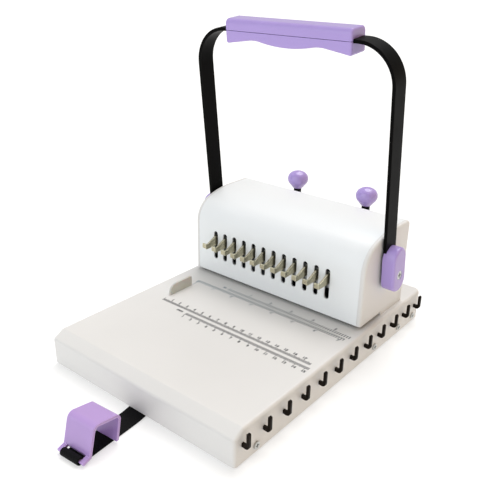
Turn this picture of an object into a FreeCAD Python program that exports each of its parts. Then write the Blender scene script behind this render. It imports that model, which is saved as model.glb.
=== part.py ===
import FreeCAD, Part
import math
import os
import types

import Sketcher

Vector = FreeCAD.Vector

# Driving sizes in millimetres and degrees.
# X runs to the right, Y to the back, Z up.
# The origin is on the table, in the middle of all the machine covers.
SIZES = {
    # base mouldings
    "base_width": 218.0,
    "base_depth": 304.0,
    "base_height": 31.0,
    "foot_height": 2.5,
    "base_wall": 2.8,
    "rear_part_depth": 71.5,
    "bevel_depth": 11.0,
    "bevel_drop": 6.0,
    "edge_round": 3.0,
    "back_corner_round": 8.0,
    "pan_sheet": 1.5,
    "pan_flange_height": 12.0,
    "pan_clearance": 0.4,
    "pan_flange_gap": 5.0,
    "foot_radius": 9.0,
    "foot_inset": 20.0,
    # housing over the punch
    "drum_inset": 6.0,
    "drum_setback": 35.5,
    "drum_depth": 83.0,
    "drum_height": 86.5,
    "drum_straight": 56.0,
    "crown_radius": 26.0,
    "crown_turn": 70.0,
    "panel_wall": 4.0,
    "panel_round": 2.4,
    "crown_back_round": 4.0,
    "hood_wall": 1.5,
    "hood_lip": 14.0,
    "hood_screw_share": 0.6,
    "back_wall": 2.5,
    "throat_gap": 3.4,
    "throat_depth": 39.5,
    # hole pattern, fingers and their slots
    "hole_count": 12.0,
    "hole_pitch": 12.7,
    "hole_edge_margin": 4.15,
    "paper_edge_inset": 29.8,
    "slot_width": 5.2,
    "slot_height": 31.0,
    "slot_lift": 20.5,
    "finger_thickness": 1.8,
    "finger_height": 10.4,
    "finger_reach": 16.3,
    "finger_drop": 5.0,
    "finger_tip_height": 5.4,
    "finger_slope": 11.0,
    "finger_flange": 3.4,
    "finger_flange_sheet": 1.6,
    "finger_flange_height": 4.8,
    "finger_nose": 1.0,
    "finger_shoulder": 1.5,
    # die set and punch bar
    "frame_thickness": 3.0,
    "frame_panel_gap": 6.0,
    "frame_front_gap": 10.5,
    "frame_chamfer": 6.0,
    "frame_foot_margin": 1.5,
    "window_land": 2.0,
    "frame_opening_gap": 2.2,
    "frame_depth": 48.0,
    "frame_top": 72.0,
    "plate_depth": 42.0,
    "die_thickness": 4.0,
    "guide_thickness": 6.0,
    "pin_size": 4.0,
    "pin_clearance": 0.06,
    "pin_retract": 2.0,
    "punch_stroke": 12.0,
    "bar_lowest_gap": 1.0,
    "bar_end_gap": 1.5,
    "tongue_proud": 1.5,
    "die_screw_inset": 6.0,
    "die_screw_length": 10.0,
    "bar_width": 18.0,
    "bar_height": 8.0,
    "tongue_width": 10.0,
    "running_clearance": 0.05,
    "free_clearance": 0.3,
    "hair_gap": 0.1,
    "head_clearance": 0.3,
    "overcut": 1.0,
    "carrier_sheet": 2.0,
    "carrier_gap": 2.0,
    "carrier_end": 4.0,
    # handle, shaft and cams
    "pivot_behind_front": 39.5,
    "pivot_lift": 47.8,
    "shaft_radius": 6.0,
    "shaft_square": 8.0,
    "shaft_thread": 15.0,
    "shaft_hole_gap": 1.0,
    "bush_radius": 8.0,
    "bush_flange_radius": 10.0,
    "bush_flange": 1.5,
    "bush_proud": 0.4,
    "ring_gap": 0.5,
    "ring_thickness": 1.2,
    "ring_radius": 9.0,
    "cam_width": 4.0,
    "cam_hub_radius": 9.5,
    "cam_inset": 6.0,
    "cam_back_margin": 5.0,
    "cam_front_margin": 6.0,
    "cam_steps": 14.0,
    "cam_pad_margin": 2.0,
    "handle_swing": 84.0,
    "handle_back": 25.0,
    "handle_lean": 6.2,
    "handle_reach": 208.0,
    "arm_gap": 1.5,
    "arm_width": 18.0,
    "arm_sheet": 3.2,
    "handle_corner": 36.0,
    "grip_length": 135.0,
    "grip_depth": 23.0,
    "grip_rise": 10.0,
    "grip_drop": 12.2,
    "grip_waist": 8.4,
    "grip_swell": 11.4,
    "grip_edge": 2.0,
    "grip_seam": 0.5,
    "grip_inner_share": 0.215,
    "grip_outer_share": 0.315,
    "grip_notch_share": 2.9,
    "grip_screw_share": 0.6,
    "grip_round": 5.0,
    "grip_screw_inset": 29.8,
    "cap_radius": 11.7,
    "cap_centres": 21.6,
    "cap_lift": 5.4,
    "cap_thickness": 12.6,
    "cap_round": 2.6,
    "cap_setback": 1.0,
    "cap_recess": 2.5,
    # return springs
    "spring_radius": 4.0,
    "spring_wire": 0.5,
    "spring_pitch": 2.4,
    "spring_inset": 3.0,
    "spring_gap": 3.0,
    "hanger_radius": 3.0,
    # wire closer at the back
    "jaw_thickness": 5.0,
    "jaw_height": 26.0,
    "jaw_gap": 2.0,
    "jaw_closed_gap": 2.0,
    "jaw_round": 1.2,
    "jaw_slot_gap": 1.0,
    "jaw_arm_x": 60.0,
    "jaw_arm_width": 8.0,
    "jaw_arm_height": 7.0,
    "anvil_height": 3.0,
    "anvil_width": 7.0,
    "anvil_screw_inset": 10.8,
    "anvil_lead": 1.0,
    "lever_setback": 18.5,
    "lever_shaft_lift": 11.5,
    "lever_shaft_radius": 4.0,
    "lever_hub_radius": 6.0,
    "lever_shaft_end": 2.5,
    "lever_end_gap": 0.4,
    "lever_x": 43.4,
    "lever_width": 8.0,
    "lever_sheet": 3.0,
    "lever_length": 70.8,
    "tang_width": 5.0,
    "tang_height": 8.0,
    "knob_radius": 11.3,
    "knob_neck_radius": 5.2,
    "knob_centre_height": 10.3,
    "knob_cheek_share": 0.708,
    "knob_waist_share": 0.84,
    "knob_waist_drop_share": 0.449,
    "knob_cap_share": 0.685,
    "knob_cap_lift_share": 0.589,
    "knob_cap_rise_share": 0.207,
    "bracket_x": 54.0,
    "bracket_sheet": 4.0,
    "bracket_width": 12.0,
    "bracket_foot": 10.0,
    "bracket_foot_sheet": 2.5,
    "stop_plate_sheet": 3.0,
    "stop_plate_height": 14.0,
    # hooks, paper stop and chip tray
    "hook_count": 12.0,
    "first_hook": 9.0,
    "last_hook": 15.6,
    "hook_height": 17.6,
    "hook_sheet": 2.4,
    "hook_gap": 4.4,
    "hook_bar": 2.7,
    "hook_arm_height": 12.9,
    "hook_bend": 1.3,
    "hook_stub_share": 0.6,
    "hook_head": 2.0,
    "hook_heel": 0.4,
    "hook_heel_share": 1.35,
    "stop_sheet": 2.0,
    "stop_gap": 33.5,
    "stop_length": 31.0,
    "stop_height": 10.5,
    "stop_round": 8.0,
    "stop_back_round": 1.5,
    "tray_width": 27.0,
    "tray_end_gap": 4.0,
    "tray_wall": 1.6,
    "tray_height": 21.6,
    "tray_clearance": 0.5,
    "tray_face_sheet": 2.0,
    "tray_face_margin": 1.8,
    "pull_drop": 4.0,
    "pull_reach": 5.0,
    "pull_half_width": 8.0,
    "pull_taper": 2.0,
    # hold down strap and clip
    "strap_x": 3.0,
    "strap_width": 20.0,
    "strap_thickness": 1.4,
    "strap_tuck": 24.0,
    "strap_turn": 4.0,
    "strap_reach": 69.0,
    "loop_radius": 3.6,
    "loop_angle": 15.0,
    "strap_lap": 12.0,
    "strap_dip": 8.0,
    "strap_edge": 1.0,
    "anchor_end": 5.0,
    "anchor_half_depth": 7.0,
    "anchor_sheet": 0.8,
    "clip_width": 28.6,
    "clip_height": 29.8,
    "clip_depth": 38.0,
    "clip_wall": 2.3,
    "clip_bar": 2.8,
    "clip_toe": 5.4,
    "clip_foot_gap": 1.2,
    "clip_lean": 15.4,
    "clip_slope": 11.8,
    "clip_front_corner": 6.0,
    "clip_back_corner": 5.0,
    "clip_slot_end": 2.0,
    # fasteners
    "front_screw": 25.2,
    "seam_screw_front": 25.9,
    "seam_screw_back": 23.0,
    "back_screw": 17.3,
    "side_screw_height": 6.5,
    "side_screw_head": 3.2,
    "small_screw": 1.5,
    "small_head": 2.7,
    "small_head_height": 1.6,
    "side_head_height": 1.4,
    "grip_head_height": 1.8,
    "hub_head_height": 2.2,
    "side_screw_bite": 1.0,
    "hub_screw_bite": 12.0,
    "cross_arm_share": 0.6,
    "cross_slot_share": 0.14,
    "cross_depth_share": 0.55,
    "hood_screw_inset": 27.0,
    "hub_screw": 2.4,
    "hub_screw_head": 4.4,
}

doc = FreeCAD.newDocument("WireBinder")
sheet = doc.addObject("Spreadsheet::Sheet", "Sizes")
parts = []


class Size:
    """A length or angle that knows its value and the sheet expression that gives it."""

    def __init__(self, value, text):
        self.value = float(value)
        self.text = text

    def join(self, other, sign, value):
        return Size(value, "(%s %s %s)" % (self.text, sign, as_size(other).text))

    def __add__(self, other):
        return self.join(other, "+", self.value + as_size(other).value)

    def __sub__(self, other):
        return self.join(other, "-", self.value - as_size(other).value)

    def __mul__(self, other):
        return self.join(other, "*", self.value * as_size(other).value)

    def __truediv__(self, other):
        return self.join(other, "/", self.value / as_size(other).value)

    def __radd__(self, other):
        return as_size(other) + self

    def __rsub__(self, other):
        return as_size(other) - self

    def __rmul__(self, other):
        return as_size(other) * self

    def __neg__(self):
        return as_size(0) - self


def as_size(amount):
    if isinstance(amount, Size):
        return amount
    return Size(amount, repr(float(amount)))


def sine(angle):
    return Size(math.sin(math.radians(angle.value)), "sin(%s * 1 deg)" % angle.text)


def cosine(angle):
    return Size(math.cos(math.radians(angle.value)), "cos(%s * 1 deg)" % angle.text)


def fill_sheet():
    """Write every driving size into the sheet and return them as named Size objects."""
    named = {}
    for row, (alias, value) in enumerate(SIZES.items(), start=1):
        sheet.set("A%d" % row, alias)
        sheet.set("B%d" % row, str(value))
        sheet.setAlias("B%d" % row, alias)
        named[alias] = Size(value, "Sizes." + alias)
    doc.recompute()
    return types.SimpleNamespace(**named)


def bind(thing, name, amount):
    thing.setExpression(name, as_size(amount).text)


def place(thing, x=0, y=0, z=0):
    for axis, amount in zip("xyz", (x, y, z)):
        if isinstance(amount, Size):
            bind(thing, "Placement.Base." + axis, amount)


def origin_feature(body, role):
    return next(item for item in body.Origin.OriginFeatures if item.Role == role)


def new_body(label, x=0, y=0, z=0, node=True):
    body = doc.addObject("PartDesign::Body", label)
    body.Label = label
    place(body, x, y, z)
    if node:
        parts.append(body)
    return body


def sketch_on(body, name, role, offset=0):
    """Sketch on an origin plane; the offset runs along the plane's normal (XZ faces the front)."""
    sketch = body.newObject("Sketcher::SketchObject", name)
    sketch.AttachmentSupport = (origin_feature(body, role), [""])
    sketch.MapMode = "FlatFace"
    if isinstance(offset, Size):
        bind(sketch, "AttachmentOffset.Base.z", offset)
    return sketch


def hold_point(sketch, shape, end, across, up):
    """Fix one end of a sketch shape at a distance from the sketch origin."""
    for kind, axis, amount in (("DistanceX", -2, across), ("DistanceY", -1, up)):
        amount = as_size(amount)
        if abs(amount.value) < 1e-9:
            sketch.addConstraint(Sketcher.Constraint("PointOnObject", shape, end, axis))
        else:
            rule = Sketcher.Constraint(kind, -1, 1, shape, end, amount.value)
            index = sketch.addConstraint(rule)
            sketch.setExpression("Constraints[%d]" % index, amount.text)


def arc_through(first, last, radius):
    """Arc between two points; a positive radius turns left on the way, a negative one right."""
    chord = last - first
    left = Vector(-chord.y, chord.x, 0).normalize()
    reach = math.sqrt(max(radius * radius - chord.Length ** 2 / 4, 0.0))
    side = math.copysign(1.0, radius)
    middle = (first + last) * 0.5 + left * side * (reach - abs(radius))
    return Part.Arc(first, middle, last)


def draw_outline(sketch, corners):
    """Closed outline through (across, up) corners; a third entry rounds the way to the next corner."""
    spots = [Vector(as_size(c[0]).value, as_size(c[1]).value, 0) for c in corners]
    shapes = []
    for number, corner in enumerate(corners):
        first = spots[number]
        last = spots[(number + 1) % len(spots)]
        if len(corner) == 3:
            curve = arc_through(first, last, as_size(corner[2]).value)
        else:
            curve = Part.LineSegment(first, last)
        index = sketch.addGeometry(curve, False)
        forward = sketch.getPoint(index, 1).distanceToPoint(first) < 0.001
        shapes.append((index, 1 if forward else 2, 2 if forward else 1))
    for number, corner in enumerate(corners):
        index, start, end = shapes[number]
        following = shapes[(number + 1) % len(shapes)]
        sketch.addConstraint(Sketcher.Constraint("Coincident", index, end, following[0], following[1]))
        hold_point(sketch, index, start, corner[0], corner[1])
        if len(corner) == 3:
            radius = as_size(corner[2])
            positive = radius if radius.value > 0 else -radius
            rule = sketch.addConstraint(Sketcher.Constraint("Radius", index, positive.value))
            sketch.setExpression("Constraints[%d]" % rule, positive.text)


def draw_rectangle(sketch, left, right, low, high):
    draw_outline(sketch, [(left, low), (right, low), (right, high), (left, high)])


def draw_circle(sketch, across, up, radius):
    centre = Vector(as_size(across).value, as_size(up).value, 0)
    index = sketch.addGeometry(Part.Circle(centre, Vector(0, 0, 1), as_size(radius).value), False)
    hold_point(sketch, index, 3, across, up)
    rule = sketch.addConstraint(Sketcher.Constraint("Radius", index, as_size(radius).value))
    sketch.setExpression("Constraints[%d]" % rule, as_size(radius).text)


def draw_rounded(sketch, left, right, low, high, radius):
    """Rectangle whose corners are quarter rounds."""
    draw_outline(sketch, [
        (left + radius, low), (right - radius, low, radius),
        (right, low + radius), (right, high - radius, radius),
        (right - radius, high), (left + radius, high, radius),
        (left, high - radius), (left, low + radius, radius),
    ])


def draw_upright_slot(sketch, across, low, high, radius):
    """Upright slot with round ends, each end two quarter rounds."""
    draw_outline(sketch, [
        (across + radius, low + radius), (across + radius, high - radius, radius),
        (across, high, radius), (across - radius, high - radius),
        (across - radius, low + radius, radius), (across, low, radius),
    ])


def finish_feature(feature, sketch, length, both_ways, other_way):
    feature.Profile = sketch
    bind(feature, "Length", length)
    if both_ways:
        feature.SideType = "Symmetric"
    feature.Reversed = other_way
    return feature


def pad(body, sketch, length, both_ways=False, other_way=False):
    feature = body.newObject("PartDesign::Pad", sketch.Name + "_pad")
    return finish_feature(feature, sketch, length, both_ways, other_way)


def pocket(body, sketch, length, both_ways=False, other_way=False):
    feature = body.newObject("PartDesign::Pocket", sketch.Name + "_cut")
    return finish_feature(feature, sketch, length, both_ways, other_way)


def repeat(body, features, axis, count, pitch):
    pattern = body.newObject("PartDesign::LinearPattern", body.Name + "_row")
    pattern.Originals = features
    pattern.Direction = (origin_feature(body, axis), [""])
    bind(pattern, "Length", pitch * (count - 1))
    bind(pattern, "Occurrences", count)
    body.Tip = pattern
    return pattern


def round_edges(body, feature, radius, chosen):
    """Fillet the edges of a feature for which the test is true."""
    doc.recompute()
    names = ["Edge%d" % (n + 1) for n, edge in enumerate(feature.Shape.Edges) if chosen(edge)]
    fillet = body.newObject("PartDesign::Fillet", body.Name + "_round")
    fillet.Base = (feature, names)
    bind(fillet, "Radius", radius)
    return fillet


def near(value, size):
    return abs(value - as_size(size).value) < 0.01


def all_at(edge, axis, size):
    """True when every end of an edge lies in one plane."""
    return all(near(getattr(vertex, axis), size) for vertex in edge.Vertexes)


def bore(body, name, spots, radius, face, depth, side=1):
    """Round holes along X, cut inwards from a face at +X (side 1) or at -X (side -1)."""
    sketch = sketch_on(body, name, "YZ_Plane", face)
    for y, z in spots:
        draw_circle(sketch, y, z, radius)
    return pocket(body, sketch, depth, other_way=side < 0)


def drop_holes(body, name, spots, radius, face, depth):
    """Round holes cut downwards from a height."""
    sketch = sketch_on(body, name, "XY_Plane", face)
    for x, y in spots:
        draw_circle(sketch, x, y, radius)
    return pocket(body, sketch, depth)


def rod(name, radius, length, x, y, z, axis="Z"):
    """Cylinder that starts at a point and runs along an axis, or against it with a minus sign."""
    turns = {
        "Z": FreeCAD.Rotation(),
        "-Z": FreeCAD.Rotation(Vector(1, 0, 0), 180),
        "X": FreeCAD.Rotation(Vector(0, 1, 0), 90),
        "-X": FreeCAD.Rotation(Vector(0, 1, 0), -90),
        "Y": FreeCAD.Rotation(Vector(1, 0, 0), -90),
        "-Y": FreeCAD.Rotation(Vector(1, 0, 0), 90),
    }
    piece = doc.addObject("Part::Cylinder", name)
    piece.Placement = FreeCAD.Placement(Vector(), turns[axis])
    bind(piece, "Radius", radius)
    bind(piece, "Height", length)
    place(piece, as_size(x), as_size(y), as_size(z))
    return piece


def block(name, left, right, front, back, low, high):
    piece = doc.addObject("Part::Box", name)
    bind(piece, "Length", as_size(right) - left)
    bind(piece, "Width", as_size(back) - front)
    bind(piece, "Height", as_size(high) - low)
    place(piece, as_size(left), as_size(front), as_size(low))
    return piece


def fused(name, pieces):
    joint = doc.addObject("Part::MultiFuse", name)
    joint.Shapes = pieces
    return joint


def cut(name, base, tool):
    result = doc.addObject("Part::Cut", name)
    result.Base = base
    result.Tool = tool
    return result


def node(thing, label):
    thing.Label = label
    parts.append(thing)
    return thing


def group(label, pieces):
    """One node that holds like pieces as separate solids."""
    together = doc.addObject("Part::Compound", label)
    together.Links = pieces
    return node(together, label)


def screw(name, head, head_height, shank, length, x, y, z, axis):
    """Pan head screw with a cross recess; its head sits at the point and its shank runs along axis."""
    against = axis[1:] if axis.startswith("-") else "-" + axis
    head_piece = rod(name + "_head", head, head_height, x, y, z, against)
    shank_piece = rod(name + "_shank", shank, length, x, y, z, axis)
    whole = fused(name + "_blank", [head_piece, shank_piece])
    step = {"X": (1, 0, 0), "Y": (0, 1, 0), "Z": (0, 0, 1)}[axis[-1]]
    way = 1 if against[0] != "-" else -1
    arm = head * d.cross_arm_share
    thin = head * d.cross_slot_share
    deep = head_height * d.cross_depth_share
    spans = []
    for wide_first in (True, False):
        half = [arm, thin] if wide_first else [thin, arm]
        span = []
        for direction, start in zip(step, (x, y, z)):
            if direction:
                outer = as_size(start) + way * head_height
                inner = outer - way * deep
                span += [inner, outer] if way > 0 else [outer, inner]
            else:
                reach = half.pop(0)
                span += [as_size(start) - reach, as_size(start) + reach]
        spans.append(block(name + ("_a" if wide_first else "_b"), *span))
    return cut(name, whole, fused(name + "_cross", spans))


d = fill_sheet()

# Places that several pieces share.
loop_front = d.strap_reach + d.loop_radius
strap_front = loop_front * cosine(d.strap_turn) + d.strap_width / 2 * sine(d.strap_turn)
front = (strap_front - d.base_depth) / 2
back = front + d.base_depth
half_width = d.base_width / 2
base_low = d.foot_height
deck = d.foot_height + d.base_height
pan_top = base_low + d.pan_sheet
seam = back - d.rear_part_depth
drum_back = back - d.drum_setback
drum_front = drum_back - d.drum_depth
drum_top = deck + d.drum_height
drum_half = half_width - d.drum_inset
hood_half = drum_half - d.panel_wall
throat_top = deck + d.throat_gap
throat_back = drum_front + d.throat_depth
back_wall_rear = drum_back - d.hood_wall
back_wall_front = back_wall_rear - d.back_wall
pivot_y = drum_front + d.pivot_behind_front
pivot_z = deck + d.pivot_lift
paper_edge = d.paper_edge_inset - half_width
first_hole = paper_edge + d.hole_edge_margin
pin_y = throat_back - d.hole_edge_margin
frame_outer = hood_half - d.frame_panel_gap
frame_inner = frame_outer - d.frame_thickness
frame_front = drum_front + d.frame_front_gap
frame_back = frame_front + d.frame_depth
plate_back = frame_front + d.plate_depth
guide_top = throat_top + d.guide_thickness
bar_low = guide_top + d.punch_stroke + d.bar_lowest_gap
bar_top = bar_low + d.bar_height
pad_top = bar_top + d.carrier_sheet
bar_front = pivot_y - d.bar_width / 2 - d.carrier_gap
bar_back = bar_front + d.bar_width
back_lift = d.punch_stroke * d.handle_back / d.handle_swing
tongue_middle = (bar_front + bar_back) / 2
slot_low = deck + d.slot_lift
slot_high = slot_low + d.slot_height
finger_high = slot_high - d.finger_drop
finger_low = finger_high - d.finger_height
lip_front = drum_front + d.hood_wall + d.carrier_gap
arm_inner = drum_half + d.arm_gap
arm_outer = arm_inner + d.arm_sheet
spring_y = pivot_y + d.shaft_radius + d.spring_radius + d.spring_gap
frame_high = deck + d.frame_top
hanger_z = frame_high - 2 * d.hanger_radius
jaw_front = drum_back + d.jaw_gap
jaw_back = jaw_front + d.jaw_thickness
jaw_low = deck + d.anvil_height + d.punch_stroke + d.jaw_closed_gap
lever_y = drum_back + d.lever_setback
lever_z = deck + d.lever_shaft_lift
hook_z = base_low + d.hook_height
tray_low = pan_top + d.tray_clearance
tray_back = pin_y + d.tray_width / 3
tray_front = tray_back - d.tray_width
tray_high = tray_low + d.tray_height
tray_right = frame_inner - d.tray_end_gap
side_screw_z = base_low + d.side_screw_height
hook_pitch = (d.base_depth - d.first_hook - d.last_hook) / (d.hook_count - 1)
hook_ys = [front + d.first_hook + hook_pitch * number for number in range(int(d.hook_count.value))]
cam_x = frame_inner - d.cam_inset
spring_xs = [first_hole + d.spring_inset, first_hole + d.hole_pitch * (d.hole_count - 1) - d.spring_inset]
side_screw_ys = {
    "right": (front + d.front_screw, seam - d.seam_screw_front, seam + d.seam_screw_back,
              back - d.back_screw),
    "left": (front + d.front_screw, seam + d.seam_screw_back, back - d.back_screw),
}


def crown_points(inset):
    """Corners of the drum's curved profile, front to back, moved inwards by a wall."""
    start_z = deck + d.drum_straight
    joint_z = start_z + d.crown_radius * sine(d.crown_turn)
    slope = 90 - d.crown_turn
    top_radius = (drum_top - joint_z) / (1 - cosine(slope))
    joint_y = drum_front + d.crown_radius - d.crown_radius * cosine(d.crown_turn)
    flat_y = joint_y + top_radius * sine(slope)
    small = d.crown_radius - inset
    large = top_radius - inset
    return [
        (drum_front + inset, start_z, small),
        (joint_y + inset * cosine(d.crown_turn), joint_z - inset * sine(d.crown_turn), large),
        (flat_y, drum_top - inset, None),
    ]


def right_turns(points):
    return [(y, z) if radius is None else (y, z, -radius) for y, z, radius in points]


def left_turns(points):
    """The same arcs walked from back to front."""
    walked = []
    for number in range(len(points) - 1, -1, -1):
        y, z, _ = points[number]
        walked.append((y, z, points[number - 1][2]) if number else (y, z))
    return walked


def base_cover():
    """Front moulding: bevelled deck, three walls, open underneath and at the back."""
    body = new_body("base_cover")
    high = deck - d.bevel_drop
    shell = sketch_on(body, "cover_side", "YZ_Plane")
    draw_outline(shell, [
        (front, base_low), (seam, base_low), (seam, deck), (front + d.bevel_depth, deck), (front, high),
    ])
    block_feature = pad(body, shell, d.base_width, both_ways=True)

    def outer_edge(edge):
        ends = edge.Vertexes
        middle = edge.CenterOfMass
        at_front = all(near(v.Y, front) for v in ends) and middle.z > base_low.value + d.overcut.value
        on_top = all(v.Z > high.value - 0.01 for v in ends) and not all_at(edge, "Y", seam)
        return at_front or on_top

    round_edges(body, block_feature, d.edge_round, outer_edge)
    hollow = sketch_on(body, "cover_hollow", "YZ_Plane", half_width - d.base_wall)
    draw_outline(hollow, [
        (front + d.base_wall, base_low - d.base_wall),
        (seam + d.base_wall, base_low - d.base_wall),
        (seam + d.base_wall, deck - d.base_wall),
        (front + d.bevel_depth + d.base_wall / 2, deck - d.base_wall),
        (front + d.base_wall, high - d.base_wall / 2),
    ])
    pocket(body, hollow, d.base_width - 2 * d.base_wall)
    opening = sketch_on(body, "cover_die_opening", "XY_Plane", deck + 1)
    reach = frame_outer + d.frame_opening_gap
    draw_rectangle(opening, -reach, reach, frame_front - d.free_clearance, seam + d.overcut)
    pocket(body, opening, d.base_wall + 2 * d.overcut)
    wall_openings(body, "cover")


def wall_openings(body, name):
    """Openings in the side walls; both mouldings get them all, so none is lost where the seam lies."""
    tray = sketch_on(body, name + "_tray_opening", "YZ_Plane", -half_width + d.base_wall + d.overcut)
    draw_rectangle(tray, tray_front - d.tray_clearance, tray_back + d.tray_clearance,
                   pan_top - d.tray_clearance, tray_high + d.tray_clearance)
    pocket(body, tray, d.base_wall + 2 * d.overcut)
    for side, side_name in ((1, "right"), (-1, "left")):
        bore(body, name + "_screw_holes_" + side_name, [(y, side_screw_z) for y in side_screw_ys[side_name]],
             d.small_screw, side * (half_width + d.overcut), d.base_wall + 2 * d.overcut, side=side)
    hooks = sketch_on(body, name + "_hook_holes", "YZ_Plane", half_width + d.overcut)
    half_sheet = d.hook_sheet / 2
    half_bar = d.hook_bar * d.hook_stub_share
    for y in hook_ys:
        draw_rectangle(hooks, y - half_sheet, y + half_sheet, hook_z - half_bar, hook_z + half_bar)
    pocket(body, hooks, d.base_wall + 2 * d.overcut)


def rear_housing():
    """Rear moulding: back of the base, the drum's two end panels and its back wall."""
    body = new_body("rear_housing")
    plan = sketch_on(body, "rear_plan", "XY_Plane", base_low)
    corner = d.back_corner_round
    draw_outline(plan, [
        (-half_width, seam), (half_width, seam), (half_width, back - corner, corner),
        (half_width - corner, back), (corner - half_width, back, corner), (-half_width, back - corner),
    ])
    rear_block = pad(body, plan, d.base_height)
    rounded = round_edges(body, rear_block, d.edge_round,
                          lambda edge: all_at(edge, "Z", deck) and not all_at(edge, "Y", seam))
    hollow = sketch_on(body, "rear_hollow", "XY_Plane", base_low - d.overcut)
    inner = half_width - d.base_wall
    small = corner - d.base_wall
    rear = back - d.base_wall
    draw_outline(hollow, [
        (-inner, seam - d.overcut), (inner, seam - d.overcut), (inner, rear - small, small),
        (inner - small, rear), (small - inner, rear, small), (-inner, rear - small),
    ])
    pocket(body, hollow, d.base_height - d.base_wall + d.overcut, other_way=True)
    for name, start in (("right", hood_half), ("left", -drum_half)):
        panel = sketch_on(body, name + "_panel", "YZ_Plane", start)
        draw_outline(panel, [(drum_front, throat_top)] + right_turns(crown_points(as_size(0))) + [
            (drum_back - d.crown_back_round, drum_top, -d.crown_back_round),
            (drum_back, drum_top - d.crown_back_round), (drum_back, deck), (throat_back, deck),
            (throat_back, throat_top),
        ])
        panel_pad = pad(body, panel, d.panel_wall)

    def rim(edge):
        outside = all_at(edge, "X", drum_half) or all_at(edge, "X", -drum_half)
        return outside and edge.CenterOfMass.z > throat_top.value + 2 * d.panel_round.value

    round_edges(body, panel_pad, d.panel_round, rim)
    wall = sketch_on(body, "rear_wall", "YZ_Plane")
    draw_rectangle(wall, back_wall_front, back_wall_rear, deck - d.overcut, drum_top - d.crown_back_round)
    pad(body, wall, 2 * hood_half + d.panel_wall / 2, both_ways=True)
    bore(body, "shaft_hole", [(pivot_y, pivot_z)], d.shaft_radius + d.shaft_hole_gap,
         drum_half + d.overcut, 2 * drum_half + 2 * d.overcut)
    slots = sketch_on(body, "jaw_slots", "XZ_Plane", -(back_wall_front - d.overcut))
    half_arm = d.jaw_arm_width / 2 + d.jaw_slot_gap
    low = bar_low - d.punch_stroke - d.jaw_slot_gap
    high = bar_low + d.jaw_arm_height + back_lift + 1.5 * d.jaw_slot_gap
    for side in (-1, 1):
        draw_rectangle(slots, side * d.jaw_arm_x - half_arm, side * d.jaw_arm_x + half_arm, low, high)
    pocket(body, slots, d.back_wall + 2 * d.overcut)
    opening = sketch_on(body, "rear_frame_opening", "XY_Plane", deck + 1)
    reach = frame_outer + d.frame_opening_gap
    draw_rectangle(opening, -reach, reach, seam - d.overcut, frame_back + d.free_clearance)
    pocket(body, opening, d.base_wall + 2 * d.overcut)
    drop_holes(body, "closer_screw_holes", closer_screw_spots(), d.small_screw, deck + 1, d.base_wall + 2)
    lip = sketch_on(body, "lip_screw_holes", "XZ_Plane", -(back_wall_front - d.overcut))
    for x in hood_screw_xs():
        draw_circle(lip, x, hood_screw_z(), d.small_screw)
    pocket(body, lip, d.back_wall + 2 * d.overcut)
    wall_openings(body, "rear")


def hood_screw_xs():
    reach = hood_half - d.hood_screw_inset
    return [-reach, as_size(0), reach]


def hood_screw_z():
    return drum_top - d.hood_lip * d.hood_screw_share


def hood():
    """Bent cover between the end panels: front face with the finger slots, crown and rear lip."""
    body = new_body("hood")
    wall = d.hood_wall
    lip_low = drum_top - d.hood_lip
    bend = d.crown_back_round
    side = sketch_on(body, "hood_side", "YZ_Plane")
    draw_outline(side, [(drum_front, throat_top)] + right_turns(crown_points(as_size(0))) + [
        (drum_back - bend, drum_top, -bend), (drum_back, drum_top - bend), (drum_back, lip_low),
        (drum_back - wall, lip_low), (drum_back - wall, drum_top - bend, bend - wall),
        (drum_back - bend, drum_top - wall),
    ] + left_turns(crown_points(wall)) + [(drum_front + wall, throat_top)])
    pad(body, side, 2 * hood_half, both_ways=True)
    lip = sketch_on(body, "hood_lip_holes", "XZ_Plane", -(drum_back - wall - d.overcut))
    for x in hood_screw_xs():
        draw_circle(lip, x, hood_screw_z(), d.small_screw)
    pocket(body, lip, wall + 2 * d.overcut)
    slot = sketch_on(body, "finger_slot", "XZ_Plane", -(drum_front - d.overcut))
    draw_upright_slot(slot, first_hole, slot_low, slot_high, d.slot_width / 2)
    slot_cut = pocket(body, slot, wall + 2 * d.overcut)
    repeat(body, [slot_cut], "X_Axis", d.hole_count, d.hole_pitch)


def bottom_pan():
    """Pressed steel pan that closes the base and carries the frames."""
    body = new_body("bottom_pan")
    plan = sketch_on(body, "pan_plan", "XY_Plane", base_low)
    edge_x = half_width - d.base_wall - d.pan_clearance
    margin = d.base_wall + d.pan_clearance
    draw_rounded(plan, -edge_x, edge_x, front + margin, back - margin, d.back_corner_round)
    pad(body, plan, d.pan_sheet)
    flanges = sketch_on(body, "pan_flanges", "XY_Plane", base_low)
    low_y = front + d.back_corner_round + d.pan_clearance + d.base_wall
    high_y = back + front - low_y
    inner_x = edge_x - d.pan_sheet
    draw_rectangle(flanges, inner_x, edge_x, low_y, high_y)
    draw_rectangle(flanges, -edge_x, -inner_x, low_y, tray_front - d.pan_flange_gap)
    draw_rectangle(flanges, -edge_x, -inner_x, tray_back + d.pan_flange_gap, high_y)
    pad(body, flanges, d.pan_flange_height)
    for side, name in ((1, "right"), (-1, "left")):
        bore(body, "pan_holes_" + name, [(y, side_screw_z) for y in side_screw_ys[name]],
             d.small_screw, side * (edge_x + d.overcut), d.pan_sheet + 2 * d.overcut, side=side)
    drop_holes(body, "pan_foot_holes", frame_foot_spots(), d.small_screw, pan_top + d.overcut,
               d.pan_sheet + 2 * d.overcut)


def frame_foot_spots():
    """Places of the screws that hold the frames' feet, as x and y."""
    reach = frame_outer + d.small_head + d.frame_foot_margin
    front_y = frame_front + d.small_head
    rear_y = frame_back - d.small_head - d.frame_foot_margin
    return [(side * reach, y) for side in (-1, 1) for y in (front_y, rear_y)]


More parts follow.
